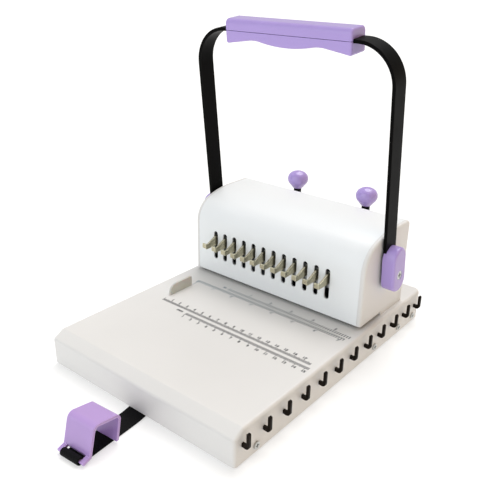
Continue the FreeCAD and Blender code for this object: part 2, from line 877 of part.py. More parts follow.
def side_frame(label, side):
    """Steel side plate: legs over the tray, notch for the paper, guide slot and bearing hole."""
    body = new_body(label)
    leg = tray_front - d.tray_clearance
    rear_leg = tray_back + d.tray_clearance
    window = deck - d.die_thickness - d.window_land
    frame_cut = 4 * d.frame_thickness
    start = frame_inner if side > 0 else -frame_outer
    plate = sketch_on(body, label + "_side", "YZ_Plane", start)
    draw_outline(plate, [
        (frame_front, pan_top), (leg, pan_top), (leg, window), (rear_leg, window),
        (rear_leg, pan_top), (frame_back, pan_top), (frame_back, frame_high),
        (frame_front + d.frame_chamfer, frame_high), (frame_front, frame_high - d.frame_chamfer),
        (frame_front, throat_top),
        (throat_back, throat_top), (throat_back, deck), (frame_front, deck),
    ])
    pad(body, plate, d.frame_thickness)
    feet = sketch_on(body, label + "_feet", "XY_Plane", pan_top)
    reach = 2 * (d.small_head + d.frame_foot_margin)
    left, right = (frame_outer, frame_outer + reach) if side > 0 else (-frame_outer - reach, -frame_outer)
    draw_rectangle(feet, left, right, frame_front, leg)
    draw_rectangle(feet, left, right, rear_leg, frame_back)
    pad(body, feet, d.pan_sheet)
    drop_holes(body, label + "_foot_holes", [s for s in frame_foot_spots() if s[0].value * side > 0],
               d.small_screw, pan_top + d.pan_sheet + d.overcut, d.pan_sheet + 2 * d.overcut)
    slot = sketch_on(body, label + "_slot", "YZ_Plane", side * frame_inner)
    half = d.tongue_width / 2 + d.running_clearance
    draw_rectangle(slot, tongue_middle - half, tongue_middle + half,
                   bar_low - d.punch_stroke - d.bar_lowest_gap, bar_top + back_lift + d.bar_lowest_gap)
    pocket(body, slot, frame_cut, both_ways=True)
    holes = sketch_on(body, label + "_bush_hole", "YZ_Plane", side * frame_inner)
    draw_circle(holes, pivot_y, pivot_z, d.bush_radius)
    pocket(body, holes, frame_cut, both_ways=True)
    small = sketch_on(body, label + "_small_holes", "YZ_Plane", side * frame_inner)
    for y, z in die_screw_spots():
        draw_circle(small, y, z, d.small_screw)
    draw_circle(small, spring_y, hanger_z, d.hanger_radius)
    pocket(body, small, frame_cut, both_ways=True)


def die_screw_spots():
    """Side screws of the die plate and of the pin guide, as y and z."""
    near_y = frame_front + d.die_screw_inset
    far_y = plate_back - d.die_screw_inset
    heights = (deck - d.die_thickness / 2, throat_top + d.guide_thickness / 2)
    return [(y, z) for z in heights for y in (near_y, far_y)]


def holed_plate(label, low, thickness, screws):
    """Plate across the frames with the row of square holes for the punch pins."""
    body = new_body(label)
    plan = sketch_on(body, label + "_plan", "XY_Plane", low)
    draw_rectangle(plan, -frame_inner, frame_inner, frame_front, plate_back)
    pad(body, plan, thickness)
    for side in (1, -1):
        bore(body, label + ("_right" if side > 0 else "_left"), screws, d.small_screw,
             side * (frame_inner + d.overcut), d.die_screw_length - d.frame_thickness + 2 * d.overcut,
             side=side)
    hole = sketch_on(body, label + "_hole", "XY_Plane", low + thickness + d.overcut)
    half = d.pin_size / 2 + d.pin_clearance
    draw_rectangle(hole, first_hole - half, first_hole + half, pin_y - half, pin_y + half)
    hole_cut = pocket(body, hole, thickness + 2 * d.overcut)
    repeat(body, [hole_cut], "X_Axis", d.hole_count, d.hole_pitch)


def die_set():
    spots = die_screw_spots()
    holed_plate("die_plate", deck - d.die_thickness, d.die_thickness, spots[:2])
    holed_plate("pin_guide", throat_top, d.guide_thickness, spots[2:])
    node(block("paper_depth_stop", -frame_inner, frame_inner, throat_back, plate_back, deck, throat_top),
         "paper_depth_stop")
    screws = []
    for side, axis in ((1, "-X"), (-1, "X")):
        for number, (y, z) in enumerate(spots):
            name = "die_screw_%s%d" % ("r" if side > 0 else "l", number)
            screws.append(screw(name, d.small_head, d.small_head_height, d.small_screw, d.die_screw_length,
                                side * frame_outer, y, z, axis))
    group("die_screws", screws)


def frame_fasteners():
    top = pan_top + d.pan_sheet
    screws = [screw("frame_screw_%d" % n, d.small_head, d.small_head_height, d.small_screw, 2 * d.pan_sheet,
                    x, y, top, "-Z") for n, (x, y) in enumerate(frame_foot_spots())]
    group("frame_screws", screws)
    node(rod("hanger_rod_blank", d.hanger_radius, 2 * frame_outer, -frame_outer, spring_y, hanger_z, "X"),
         "spring_hanger_rod")


def punch_bar():
    """Bar that carries the pins; its end tongues run in the frames' slots."""
    body = new_body("punch_bar")
    bar = sketch_on(body, "bar_section", "YZ_Plane")
    draw_rectangle(bar, bar_front, bar_back, bar_low, bar_top)
    pad(body, bar, 2 * (frame_inner - d.bar_end_gap), both_ways=True)
    tongue = sketch_on(body, "tongue_section", "YZ_Plane")
    half = d.tongue_width / 2
    draw_rectangle(tongue, tongue_middle - half, tongue_middle + half, bar_low, bar_top)
    pad(body, tongue, 2 * (frame_outer + d.tongue_proud), both_ways=True)


def punch_pins():
    body = new_body("punch_pins")
    pin = sketch_on(body, "pin_section", "XY_Plane", throat_top + d.pin_retract)
    half = d.pin_size / 2
    draw_rectangle(pin, first_hole - half, first_hole + half, pin_y - half, pin_y + half)
    pin_pad = pad(body, pin, bar_low - throat_top - d.pin_retract)
    repeat(body, [pin_pad], "X_Axis", d.hole_count, d.hole_pitch)


def cam_pads():
    half = d.cam_width / 2 + d.cam_pad_margin
    pads = [block("cam_pad_%d" % n, side * cam_x - half, side * cam_x + half,
                  bar_front, bar_back, bar_top, pad_top) for n, side in enumerate((-1, 1))]
    group("cam_pads", pads)


def finger_carrier():
    """Bent sheet on the punch bar: its front lip holds the fingers, its back edge the springs."""
    body = new_body("finger_carrier")
    side = sketch_on(body, "carrier_side", "YZ_Plane", first_hole - d.carrier_end)
    rear = spring_y + d.spring_radius + d.carrier_sheet / 2
    lip_high = finger_high + d.carrier_sheet / 2
    draw_outline(side, [
        (lip_front, bar_top), (rear, bar_top), (rear, pad_top), (lip_front + d.carrier_sheet, pad_top),
        (lip_front + d.carrier_sheet, lip_high), (lip_front, lip_high),
    ])
    pad(body, side, d.hole_pitch * (d.hole_count - 1) + 2 * d.carrier_end)


def wire_fingers():
    """Row of flat fingers that stand out of the slots, each with a small flange at its tip."""
    body = new_body("wire_fingers")
    tip = drum_front - d.finger_reach
    step = finger_low + d.finger_tip_height
    shoulder = drum_front - d.finger_shoulder
    side = sketch_on(body, "finger_side", "YZ_Plane", first_hole - d.finger_thickness / 2)
    draw_outline(side, [
        (tip + d.finger_nose, finger_low), (lip_front, finger_low), (lip_front, finger_high),
        (shoulder, finger_high), (shoulder - d.finger_slope, step), (tip, step),
        (tip, finger_low + d.finger_nose),
    ])
    blade = pad(body, side, d.finger_thickness)
    flange = sketch_on(body, "finger_flange", "XY_Plane", finger_low + d.finger_nose)
    right = first_hole + d.finger_thickness / 2
    draw_rectangle(flange, first_hole - d.finger_thickness / 2 - d.finger_flange, right, tip,
                   tip + d.finger_flange_sheet)
    flange_pad = pad(body, flange, d.finger_flange_height)
    repeat(body, [blade, flange_pad], "X_Axis", d.hole_count, d.hole_pitch)


def closer_jaw():
    """Pressing bar behind the drum, joined to the punch bar by two arms through the back wall."""
    body = new_body("closer_jaw")
    bar = sketch_on(body, "jaw_section", "YZ_Plane")
    draw_rectangle(bar, jaw_front, jaw_back, jaw_low, jaw_low + d.jaw_height)
    jaw_bar = pad(body, bar, 2 * frame_inner, both_ways=True)
    round_edges(body, jaw_bar, d.jaw_round, lambda edge: all_at(edge, "Y", jaw_back))
    arms = sketch_on(body, "jaw_arms", "XZ_Plane", -jaw_front)
    half = d.jaw_arm_width / 2
    for side in (-1, 1):
        draw_rectangle(arms, side * d.jaw_arm_x - half, side * d.jaw_arm_x + half,
                       bar_low, bar_low + d.jaw_arm_height)
    pad(body, arms, jaw_front - bar_back)


def leaned(thing):
    """Turn a piece of the handle about the shaft by the handle's rest lean."""
    turn = FreeCAD.Rotation(Vector(1, 0, 0), d.handle_lean.value)
    thing.Placement = FreeCAD.Placement(Vector(0, pivot_y.value, pivot_z.value), turn)
    bind(thing, "Placement.Rotation.Angle", d.handle_lean)
    place(thing, 0, pivot_y, pivot_z)


def handle_frame():
    """Flat bar bent to a U, square holes at its ends for the shaft; drawn upright from the shaft."""
    body = new_body("handle_frame")
    leaned(body)
    top = d.handle_reach + d.arm_sheet / 2
    end = -d.arm_width / 2
    corner = d.handle_corner
    small = corner - d.arm_sheet
    shape = sketch_on(body, "handle_front", "XZ_Plane")
    draw_outline(shape, [
        (arm_outer, end), (arm_outer, top - corner, corner), (arm_outer - corner, top),
        (corner - arm_outer, top, corner), (-arm_outer, top - corner), (-arm_outer, end),
        (-arm_inner, end), (-arm_inner, top - corner, -small), (corner - arm_outer, top - d.arm_sheet),
        (arm_outer - corner, top - d.arm_sheet, -small), (arm_inner, top - corner), (arm_inner, end),
    ])
    bar = pad(body, shape, d.arm_width, both_ways=True)
    round_edges(body, bar, d.arm_width / 2 - d.hair_gap,
                lambda edge: all_at(edge, "Z", end) and near(abs(edge.CenterOfMass.y), -end))
    square = sketch_on(body, "handle_square", "YZ_Plane", arm_outer + d.overcut)
    half = d.shaft_square / 2
    draw_rectangle(square, -half, half, -half, half)
    pocket(body, square, 2 * arm_outer + 2 * d.overcut)
    drop_holes(body, "handle_grip_holes", [(-grip_screw_x(), 0), (grip_screw_x(), 0)],
               d.small_screw, top + d.overcut, d.arm_sheet + 2 * d.overcut)


def grip_screw_x():
    return d.grip_length / 2 - d.grip_screw_inset


def grip_shells():
    """Two moulded shells round the middle of the bar, parted along the bar."""
    half = d.grip_length / 2
    depth = d.grip_depth / 2
    middle = d.handle_reach
    crown = middle + d.grip_rise
    upper = new_body("grip_upper_shell")
    leaned(upper)
    profile = sketch_on(upper, "upper_side", "YZ_Plane")
    draw_outline(profile, [
        (-depth, middle), (depth, middle), (depth, crown - d.grip_round, d.grip_round),
        (depth - d.grip_round, crown), (d.grip_round - depth, crown, d.grip_round),
        (-depth, crown - d.grip_round),
    ])
    upper_pad = pad(upper, profile, d.grip_length, both_ways=True)
    round_edges(upper, upper_pad, d.grip_edge, lambda edge: (
        (all_at(edge, "X", half) or all_at(edge, "X", -half))
        and edge.CenterOfMass.z > middle.value + d.grip_edge.value))
    lower = new_body("grip_lower_shell")
    leaned(lower)
    wave = sketch_on(lower, "lower_front", "XZ_Plane")
    seam_z = middle - d.grip_seam
    low = middle - d.grip_drop
    waist = middle - d.grip_waist
    inner = d.grip_length * d.grip_inner_share
    outer = d.grip_length * d.grip_outer_share
    sag = d.grip_swell - d.grip_waist
    swell = (inner * inner + sag * sag) / (2 * sag)
    notch = (outer - inner) * d.grip_notch_share
    draw_outline(wave, [
        (half, seam_z), (-half, seam_z), (-half, low), (-outer, waist, -notch), (-inner, waist, swell),
        (inner, waist, -notch), (outer, waist), (half, low),
    ])
    lower_pad = pad(lower, wave, d.grip_depth, both_ways=True)
    round_edges(lower, lower_pad, d.grip_edge,
                lambda edge: edge.CenterOfMass.z < middle.value - d.grip_waist.value / 2
                and (abs(edge.CenterOfMass.y) > depth.value - d.hair_gap.value or all_at(edge, "X", half)
                     or all_at(edge, "X", -half)))
    for body, name in ((upper, "upper"), (lower, "lower")):
        channel = sketch_on(body, name + "_channel", "YZ_Plane")
        draw_rectangle(channel, -d.arm_width / 2, d.arm_width / 2,
                       middle - d.arm_sheet / 2, middle + d.arm_sheet / 2)
        pocket(body, channel, d.grip_length + 2 * d.overcut, both_ways=True)
    drop_holes(lower, "lower_screw_holes", [(-grip_screw_x(), 0), (grip_screw_x(), 0)],
               d.small_screw, middle, d.grip_drop + d.overcut)
    drop_holes(upper, "upper_screw_holes", [(-grip_screw_x(), 0), (grip_screw_x(), 0)],
               d.small_screw, middle + d.grip_rise * d.grip_screw_share, d.grip_rise)
    recess = sketch_on(lower, "lower_recess", "XY_Plane", middle - d.grip_waist / 2)
    for side in (-1, 1):
        draw_circle(recess, side * grip_screw_x(), 0, d.small_head + d.head_clearance)
    pocket(lower, recess, d.grip_drop)
    screws = []
    for n, side in enumerate((-1, 1)):
        piece = screw("grip_screw_%d" % n, d.small_head, d.grip_head_height, d.small_screw,
                      d.grip_waist / 2 + d.grip_rise * d.grip_screw_share, side * grip_screw_x(), as_size(0),
                      middle - d.grip_waist / 2, "Z")
        screws.append(piece)
    leaned(group("grip_screws", screws))


def pivot_shaft():
    body = new_body("pivot_shaft")
    leaned(body)
    round_part = sketch_on(body, "shaft_round", "YZ_Plane")
    draw_circle(round_part, as_size(0), as_size(0), d.shaft_radius)
    pad(body, round_part, 2 * arm_inner, both_ways=True)
    square = sketch_on(body, "shaft_square", "YZ_Plane")
    half = d.shaft_square / 2
    draw_rectangle(square, -half, half, -half, half)
    pad(body, square, 2 * arm_outer, both_ways=True)
    for side in (1, -1):
        bore(body, "shaft_thread_" + ("r" if side > 0 else "l"), [(as_size(0), as_size(0))],
             d.hub_screw, side * (arm_outer + d.overcut), d.shaft_thread, side=side)
    rings = []
    for n, side in enumerate((-1, 1)):
        axis = "X" if side > 0 else "-X"
        start = side * (frame_outer + d.bush_proud + d.ring_gap)
        outer = rod("ring_outer_%d" % n, d.ring_radius, d.ring_thickness, start, pivot_y, pivot_z, axis)
        inner = rod("ring_inner_%d" % n, d.shaft_radius, d.ring_thickness, start, pivot_y, pivot_z, axis)
        rings.append(cut("shaft_ring_%d" % n, outer, inner))
    group("shaft_rings", rings)


def shaft_bushes():
    """Flanged bronze bushes in the frames, with a running fit on the shaft."""
    bushes = []
    for n, side in enumerate((-1, 1)):
        axis = "X" if side > 0 else "-X"
        inner = side * (frame_inner - d.bush_flange)
        sleeve = rod("bush_sleeve_%d" % n, d.bush_radius, d.bush_flange + d.frame_thickness + d.bush_proud,
                     inner, pivot_y, pivot_z, axis)
        flange = rod("bush_flange_%d" % n, d.bush_flange_radius, d.bush_flange, inner, pivot_y, pivot_z, axis)
        hole = rod("bush_bore_%d" % n, d.shaft_radius + d.running_clearance, 2 * frame_outer,
                   -side * frame_outer / 2, pivot_y, pivot_z, axis)
        bushes.append(cut("bush_%d" % n, fused("bush_blank_%d" % n, [sleeve, flange]), hole))
    group("shaft_bushes", bushes)


def cam_lift():
    """Lift of the cam in millimetres for each radian of handle swing."""
    return d.punch_stroke.value / math.radians(d.handle_swing.value)


def cam_shape():
    """Cam whose flat follower moves evenly with the handle: the outline is an involute."""
    rate = cam_lift()
    rest = pivot_z.value - pad_top.value - d.free_clearance.value
    low = math.radians(-d.handle_back.value - d.cam_back_margin.value)
    high = math.radians(d.handle_swing.value + d.cam_front_margin.value)
    steps = int(d.cam_steps.value)
    points = []
    for step in range(steps + 1):
        angle = low + (high - low) * step / steps
        lift = rest + rate * angle
        y = -lift * math.sin(angle) - rate * math.cos(angle)
        z = -lift * math.cos(angle) + rate * math.sin(angle)
        points.append(Vector(0, y, z))
    curve = Part.BSplineCurve()
    curve.interpolate(points)
    hub = d.cam_hub_radius.value
    top = Vector(0, 0, hub)
    bottom = Vector(0, 0, -hub)
    edges = [
        curve.toShape(), Part.LineSegment(points[-1], top).toShape(),
        Part.Arc(top, Vector(0, hub, 0), bottom).toShape(),
        Part.LineSegment(bottom, points[0]).toShape(),
    ]
    face = Part.Face(Part.Wire(edges))
    solid = face.extrude(Vector(d.cam_width.value, 0, 0))
    past = d.overcut.value
    drill = Part.makeCylinder(d.shaft_radius.value, d.cam_width.value + 2 * past, Vector(-past, 0, 0),
                              Vector(1, 0, 0))
    return solid.cut(drill)


def punch_cams():
    for label, side in (("punch_cam_left", -1), ("punch_cam_right", 1)):
        cam = doc.addObject("Part::Feature", label)
        cam.Shape = cam_shape()
        place(cam, side * cam_x - d.cam_width / 2, pivot_y, pivot_z)
        node(cam, label)


def hub_cap(label, side):
    """Moulded cap over the lower end of an arm, with a channel for the arm and a screw recess."""
    body = new_body(label)
    leaned(body)
    inner = arm_inner + d.cap_setback
    outline = sketch_on(body, label + "_outline", "YZ_Plane", side * inner)
    reach = d.cap_centres / 2 + d.cap_radius
    draw_upright_slot(outline, as_size(0), d.cap_lift - reach, d.cap_lift + reach, d.cap_radius)
    cap = pad(body, outline, d.cap_thickness, other_way=side < 0)
    outer = side * (inner + d.cap_thickness)
    round_edges(body, cap, d.cap_round, lambda edge: all_at(edge, "X", outer))
    channel = sketch_on(body, label + "_channel", "YZ_Plane", side * arm_outer)
    half = d.arm_width / 2
    draw_rectangle(channel, -half, half, -half, d.cap_lift + reach + d.overcut)
    pocket(body, channel, d.arm_sheet, other_way=side < 0)
    bore(body, label + "_hole", [(as_size(0), as_size(0))], d.hub_screw,
         outer + side * d.overcut, d.cap_thickness + 2 * d.overcut, side=side)
    bore(body, label + "_recess", [(as_size(0), as_size(0))], d.hub_screw_head + d.head_clearance,
         outer + side * d.overcut, d.cap_recess + d.overcut, side=side)


def hub_caps():
    hub_cap("hub_cap_left", -1)
    hub_cap("hub_cap_right", 1)
    floor = arm_inner + d.cap_setback + d.cap_thickness - d.cap_recess
    screws = []
    for n, (side, axis) in enumerate(((-1, "X"), (1, "-X"))):
        screws.append(screw("hub_screw_%d" % n, d.hub_screw_head, d.hub_head_height, d.hub_screw,
                            floor - arm_outer + d.hub_screw_bite, side * floor, pivot_y, pivot_z, axis))
    group("hub_screws", screws)


def return_springs():
    """Two tension springs that draw the punch bar up towards the hanger rod."""
    springs = []
    low = pad_top + d.free_clearance + d.spring_wire
    high = hanger_z - d.hanger_radius - d.free_clearance - d.spring_wire
    for n, x in enumerate(spring_xs):
        coil = doc.addObject("Part::Helix", "spring_coil_%d" % n)
        bind(coil, "Pitch", d.spring_pitch)
        bind(coil, "Height", high - low)
        bind(coil, "Radius", d.spring_radius)
        place(coil, x, spring_y, low)
        wire = doc.addObject("Part::Circle", "spring_wire_%d" % n)
        wire.Placement = FreeCAD.Placement(Vector(), FreeCAD.Rotation(Vector(1, 0, 0), 90))
        bind(wire, "Radius", d.spring_wire)
        place(wire, x + d.spring_radius, spring_y, low)
        sweep = doc.addObject("Part::Sweep", "spring_sweep_%d" % n)
        sweep.Sections = [wire]
        doc.recompute()
        sweep.Spine = (coil, ["Edge%d" % (k + 1) for k in range(len(coil.Shape.Edges))])
        sweep.Solid = True
        sweep.Frenet = True
        springs.append(sweep)
    group("return_springs", springs)


def closer_screw_spots():
    """Screws of the anvil and of the lever brackets, as x and y."""
    anvil_y = (jaw_front + jaw_back) / 2
    anvil_x = frame_inner - d.anvil_screw_inset
    bracket_x = d.bracket_x + d.bracket_sheet + d.bracket_foot / 2
    return [(side * x, y) for side in (-1, 1) for x, y in ((anvil_x, anvil_y), (bracket_x, lever_y))]


def closer_base():
    """Anvil strip, lever brackets and their screws on the rear deck."""
    anvil = new_body("closer_anvil")
    anvil_front = jaw_front - d.anvil_lead
    plan = sketch_on(anvil, "anvil_plan", "XY_Plane", deck)
    draw_rectangle(plan, -frame_inner, frame_inner, anvil_front, anvil_front + d.anvil_width)
    pad(anvil, plan, d.anvil_height)
    spots = closer_screw_spots()
    anvil_spots = spots[0::2]
    top = deck + d.anvil_height
    drop_holes(anvil, "anvil_holes", anvil_spots, d.small_screw, top + d.overcut,
               d.anvil_height + 2 * d.overcut)
    drop_holes(anvil, "anvil_recess", anvil_spots, d.small_head + d.head_clearance, top + d.overcut,
               d.small_head_height + d.overcut)
    brackets = []
    for side, name in ((-1, "left"), (1, "right")):
        bracket = new_body("closer_bracket_" + name, node=False)
        half = d.bracket_width / 2
        ear_start = d.bracket_x if side > 0 else -d.bracket_x - d.bracket_sheet
        ear = sketch_on(bracket, name + "_ear", "YZ_Plane", ear_start)
        draw_outline(ear, [
            (lever_y - half, deck), (lever_y + half, deck), (lever_y + half, lever_z, half),
            (lever_y, lever_z + half, half), (lever_y - half, lever_z),
        ])
        pad(bracket, ear, d.bracket_sheet)
        foot = sketch_on(bracket, name + "_foot", "XY_Plane", deck)
        start = d.bracket_x + d.bracket_sheet
        left, right = (start, start + d.bracket_foot) if side > 0 else (-start - d.bracket_foot, -start)
        draw_rectangle(foot, left, right, lever_y - half, lever_y + half)
        pad(bracket, foot, d.bracket_foot_sheet)
        spot = [s for s in spots[1::2] if s[0].value * side > 0]
        drop_holes(bracket, name + "_foot_hole", spot, d.small_screw, deck + d.bracket_foot_sheet + d.overcut,
                   d.bracket_foot_sheet + 2 * d.overcut)
        bore(bracket, name + "_bore", [(lever_y, lever_z)], d.lever_shaft_radius + d.running_clearance,
             side * (start + d.overcut), d.bracket_sheet + 2 * d.overcut, side=side)
        brackets.append(bracket)
    group("closer_brackets", brackets)
    screws = []
    for n, (x, y) in enumerate(spots):
        seat = top - d.small_head_height if n % 2 == 0 else deck + d.bracket_foot_sheet
        screws.append(screw("closer_screw_%d" % n, d.small_head, d.small_head_height, d.small_screw,
                            seat - deck + d.base_wall, x, y, seat, "-Z"))
    group("closer_screws", screws)


def closer_levers():
    """Rocking shaft with two upright levers, their knobs and the stop plate for the wire."""
    outside = d.bracket_x + d.bracket_sheet + d.lever_end_gap
    shaft = rod("lever_shaft_round", d.lever_shaft_radius, 2 * outside, -outside, lever_y, lever_z, "X")
    ends = [rod("lever_shaft_end_%d" % n, d.lever_hub_radius, d.lever_shaft_end, side * outside,
                lever_y, lever_z, "X" if side > 0 else "-X") for n, side in enumerate((-1, 1))]
    node(fused("lever_shaft_blank", [shaft] + ends), "lever_shaft")
    for label, side in (("left", -1), ("right", 1)):
        lever = new_body("closer_lever_" + label, side * d.lever_x, lever_y, lever_z)
        hub = sketch_on(lever, label + "_hub", "YZ_Plane")
        draw_circle(hub, as_size(0), as_size(0), d.lever_hub_radius)
        pad(lever, hub, d.lever_width, both_ways=True)
        stem = sketch_on(lever, label + "_stem", "XZ_Plane")
        half = d.lever_width / 2
        tang = d.tang_width / 2
        top = d.lever_length + d.tang_height
        draw_outline(stem, [
            (-half, 0), (half, 0), (half, d.lever_length), (tang, d.lever_length), (tang, top),
            (-tang, top), (-tang, d.lever_length), (-half, d.lever_length),
        ])
        pad(lever, stem, d.lever_sheet, both_ways=True)
        bore(lever, label + "_lever_bore", [(as_size(0), as_size(0))], d.lever_shaft_radius,
             half + d.overcut, d.lever_width + 2 * d.overcut)
        knob = new_body("lever_knob_" + label, side * d.lever_x, lever_y, lever_z + d.lever_length)
        shape = sketch_on(knob, label + "_knob", "XZ_Plane")
        wide = d.knob_radius
        middle = d.knob_centre_height
        cheek = wide * d.knob_cheek_share
        cap_width = wide * d.knob_cap_share
        cap_rise = wide * d.knob_cap_rise_share
        cap_low = middle + wide * d.knob_cap_lift_share
        waist = wide * d.knob_waist_share
        waist_z = middle - wide * d.knob_waist_drop_share
        cap_radius = (cap_width * cap_width + cap_rise * cap_rise) / (2 * cap_rise)
        draw_outline(shape, [
            (as_size(0), as_size(0)), (d.knob_neck_radius, as_size(0)), (waist, waist_z, cheek),
            (wide, middle, cheek), (cap_width, cap_low, cap_radius), (as_size(0), cap_low + cap_rise),
        ])
        spin = knob.newObject("PartDesign::Revolution", label + "_knob_spin")
        spin.Profile = shape
        spin.ReferenceAxis = (shape, ["V_Axis"])
        spin.Angle = 360.0
        socket = sketch_on(knob, label + "_socket", "XY_Plane", -d.overcut)
        thick = d.lever_sheet / 2
        draw_rectangle(socket, -tang, tang, -thick, thick)
        pocket(knob, socket, d.tang_height + d.overcut, other_way=True)
    reach = d.lever_x - d.lever_width / 2
    top = lever_z + d.lever_shaft_radius
    half = d.stop_plate_sheet / 2
    node(block("stop_plate_blank", -reach, reach, lever_y - half, lever_y + half, top,
               top + d.stop_plate_height), "wire_stop_plate")


def hook(number):
    """J hook: a stub through the side wall, a bend and an upright arm."""
    body = new_body("wire_hook_%02d" % (number + 1), half_width, hook_ys[number], hook_z)
    bar = d.hook_bar
    inside = -d.base_wall - d.free_clearance
    arm = d.hook_gap
    top = d.hook_arm_height
    bend = d.hook_bend
    half = bar * d.hook_stub_share
    head_x = inside - d.hook_head
    head = bar
    shape = sketch_on(body, "hook_shape_%02d" % (number + 1), "XZ_Plane")
    draw_outline(shape, [
        (head_x, -head), (inside, -head), (inside, -half), (as_size(0), -half),
        (arm - bend, -half - d.hook_heel, bar * d.hook_heel_share), (arm + bar, half),
        (arm + bar, top - bar / 2, bar / 2),
        (arm + bar / 2, top, bar / 2), (arm, top - bar / 2), (arm, half + bend, -bend), (arm - bend, half),
        (inside, half), (inside, head), (head_x, head),
    ])
    pad(body, shape, d.hook_sheet - d.hair_gap, both_ways=True)


def paper_stop():
    """Upright plate on the deck that squares the paper's left edge to the holes."""
    body = new_body("paper_stop")
    low = drum_front - d.stop_gap - d.stop_length
    rear = low + d.stop_length
    small = d.stop_back_round
    high = deck + d.stop_height
    side = sketch_on(body, "stop_side", "YZ_Plane", paper_edge - d.stop_sheet)
    draw_outline(side, [
        (low, deck), (rear, deck), (rear, high - small, small), (rear - small, high),
        (low + d.stop_round, high, d.stop_round),
        (low, high - d.stop_round),
    ])
    pad(body, side, d.stop_sheet)


def chip_tray():
    """Open drawer for the punched chips, drawn out to the left."""
    body = new_body("chip_tray")
    plan = sketch_on(body, "tray_plan", "XY_Plane", tray_low)
    face = -half_width - d.free_clearance
    draw_rectangle(plan, face, tray_right, tray_front, tray_back)
    pad(body, plan, d.tray_height)
    plate = sketch_on(body, "tray_face", "YZ_Plane", face)
    margin = d.tray_face_margin
    draw_rectangle(plate, tray_front - margin, tray_back + margin, base_low + d.tray_clearance,
                   tray_high + margin)
    pad(body, plate, d.tray_face_sheet, other_way=True)
    inner = sketch_on(body, "tray_inside", "XY_Plane", tray_high + d.overcut)
    wall = d.tray_wall
    draw_rectangle(inner, face + wall, tray_right - wall, tray_front + wall, tray_back - wall)
    pocket(body, inner, d.tray_height + d.overcut - wall)
    pull = sketch_on(body, "tray_pull", "XY_Plane", tray_high - d.pull_drop)
    middle = (tray_front + tray_back) / 2
    root, end = face - d.tray_face_sheet / 2, face - d.pull_reach
    wide, narrow = d.pull_half_width, d.pull_half_width - d.pull_taper
    draw_outline(pull, [
        (root, middle - wide), (root, middle + wide), (end, middle + narrow), (end, middle - narrow),
    ])
    pad(body, pull, d.tray_face_sheet)


def rubber_feet():
    spots = [(side * (half_width - d.foot_inset), y) for side in (-1, 1)
             for y in (front + d.foot_inset, back - d.foot_inset)]
    group("rubber_feet", [rod("foot_%d" % n, d.foot_radius, d.foot_height, x, y, as_size(0))
                          for n, (x, y) in enumerate(spots)])


def side_screws():
    screws = []
    for side, name, axis in ((1, "right", "-X"), (-1, "left", "X")):
        for n, y in enumerate(side_screw_ys[name]):
            length = d.base_wall + d.pan_clearance + d.pan_sheet + d.side_screw_bite
            screws.append(screw("side_screw_%s_%d" % (name, n), d.side_screw_head,
                                d.side_head_height, d.small_screw,
                                length, side * half_width, y, side_screw_z, axis))
    group("side_screws", screws)


def hood_screws():
    screws = [screw("hood_screw_%d" % n, d.small_head, d.side_head_height, d.small_screw,
                    d.hood_wall + d.back_wall, x, drum_back, hood_screw_z(), "-Y")
              for n, x in enumerate(hood_screw_xs())]
    group("hood_screws", screws)


def swivelled(thing, ahead, up):
    """Turn a piece of the strap about the place where the strap comes out from under the base."""
    across = d.strap_x + ahead * sine(d.strap_turn)
    along = front - ahead * cosine(d.strap_turn)
    turn = FreeCAD.Rotation(Vector(0, 0, 1), d.strap_turn.value)
    thing.Placement = FreeCAD.Placement(Vector(), turn)
    bind(thing, "Placement.Rotation.Angle", d.strap_turn)
    place(thing, across, along, up)


def hold_down_strap():
    """Webbing strap laid flat in front of the base and sewn back on itself round the clip's bar."""
    body = new_body("hold_down_strap")
    swivelled(body, as_size(0), as_size(0))
    thick = d.strap_thickness
    under = base_low - d.hair_gap
    loop_y = -d.strap_reach
    outer = d.loop_radius
    inner = outer - thick
    slope_y = sine(d.loop_angle)
    slope_z = cosine(d.loop_angle)
    out_y = loop_y + outer * slope_z
    out_z = outer + outer * slope_y
    land_y = out_y + (out_z - 2 * thick) * slope_y / slope_z
    lap_end = land_y + d.strap_lap
    dip = -d.strap_dip
    edge = d.strap_edge
    side = sketch_on(body, "strap_side", "YZ_Plane")
    draw_outline(side, [
        (d.strap_tuck, under - thick), (d.strap_tuck, under), (edge, under),
        (dip, thick), (lap_end, thick), (lap_end, 2 * thick), (land_y, 2 * thick),
        (out_y, out_z, outer), (loop_y - outer, outer, outer), (loop_y, as_size(0)),
        (dip, as_size(0)), (edge, under - thick),
    ])
    in_y = loop_y + inner * slope_z
    in_z = outer + inner * slope_y
    draw_outline(side, [
        (in_y, in_z, inner), (loop_y - inner, outer, inner), (loop_y, thick),
        (in_y + (in_z - thick) * slope_y / slope_z, thick),
    ])
    pad(body, side, d.strap_width, both_ways=True)
    middle = d.strap_tuck / 2
    half = d.strap_width / 2 + d.anchor_end
    reach = d.anchor_half_depth
    plate = block("anchor_plate", -half, half, middle - reach, middle + reach,
                  under - thick - d.anchor_sheet, under - thick)
    rivets = [rod("anchor_rivet_%d" % n, d.small_screw, thick + d.hair_gap,
                  side_x * (half - d.anchor_end / 2), middle, under - thick)
              for n, side_x in enumerate((-1, 1))]
    anchor = fused("strap_anchor_blank", [plate] + rivets)
    swivelled(anchor, as_size(0), as_size(0))
    node(anchor, "strap_anchor")


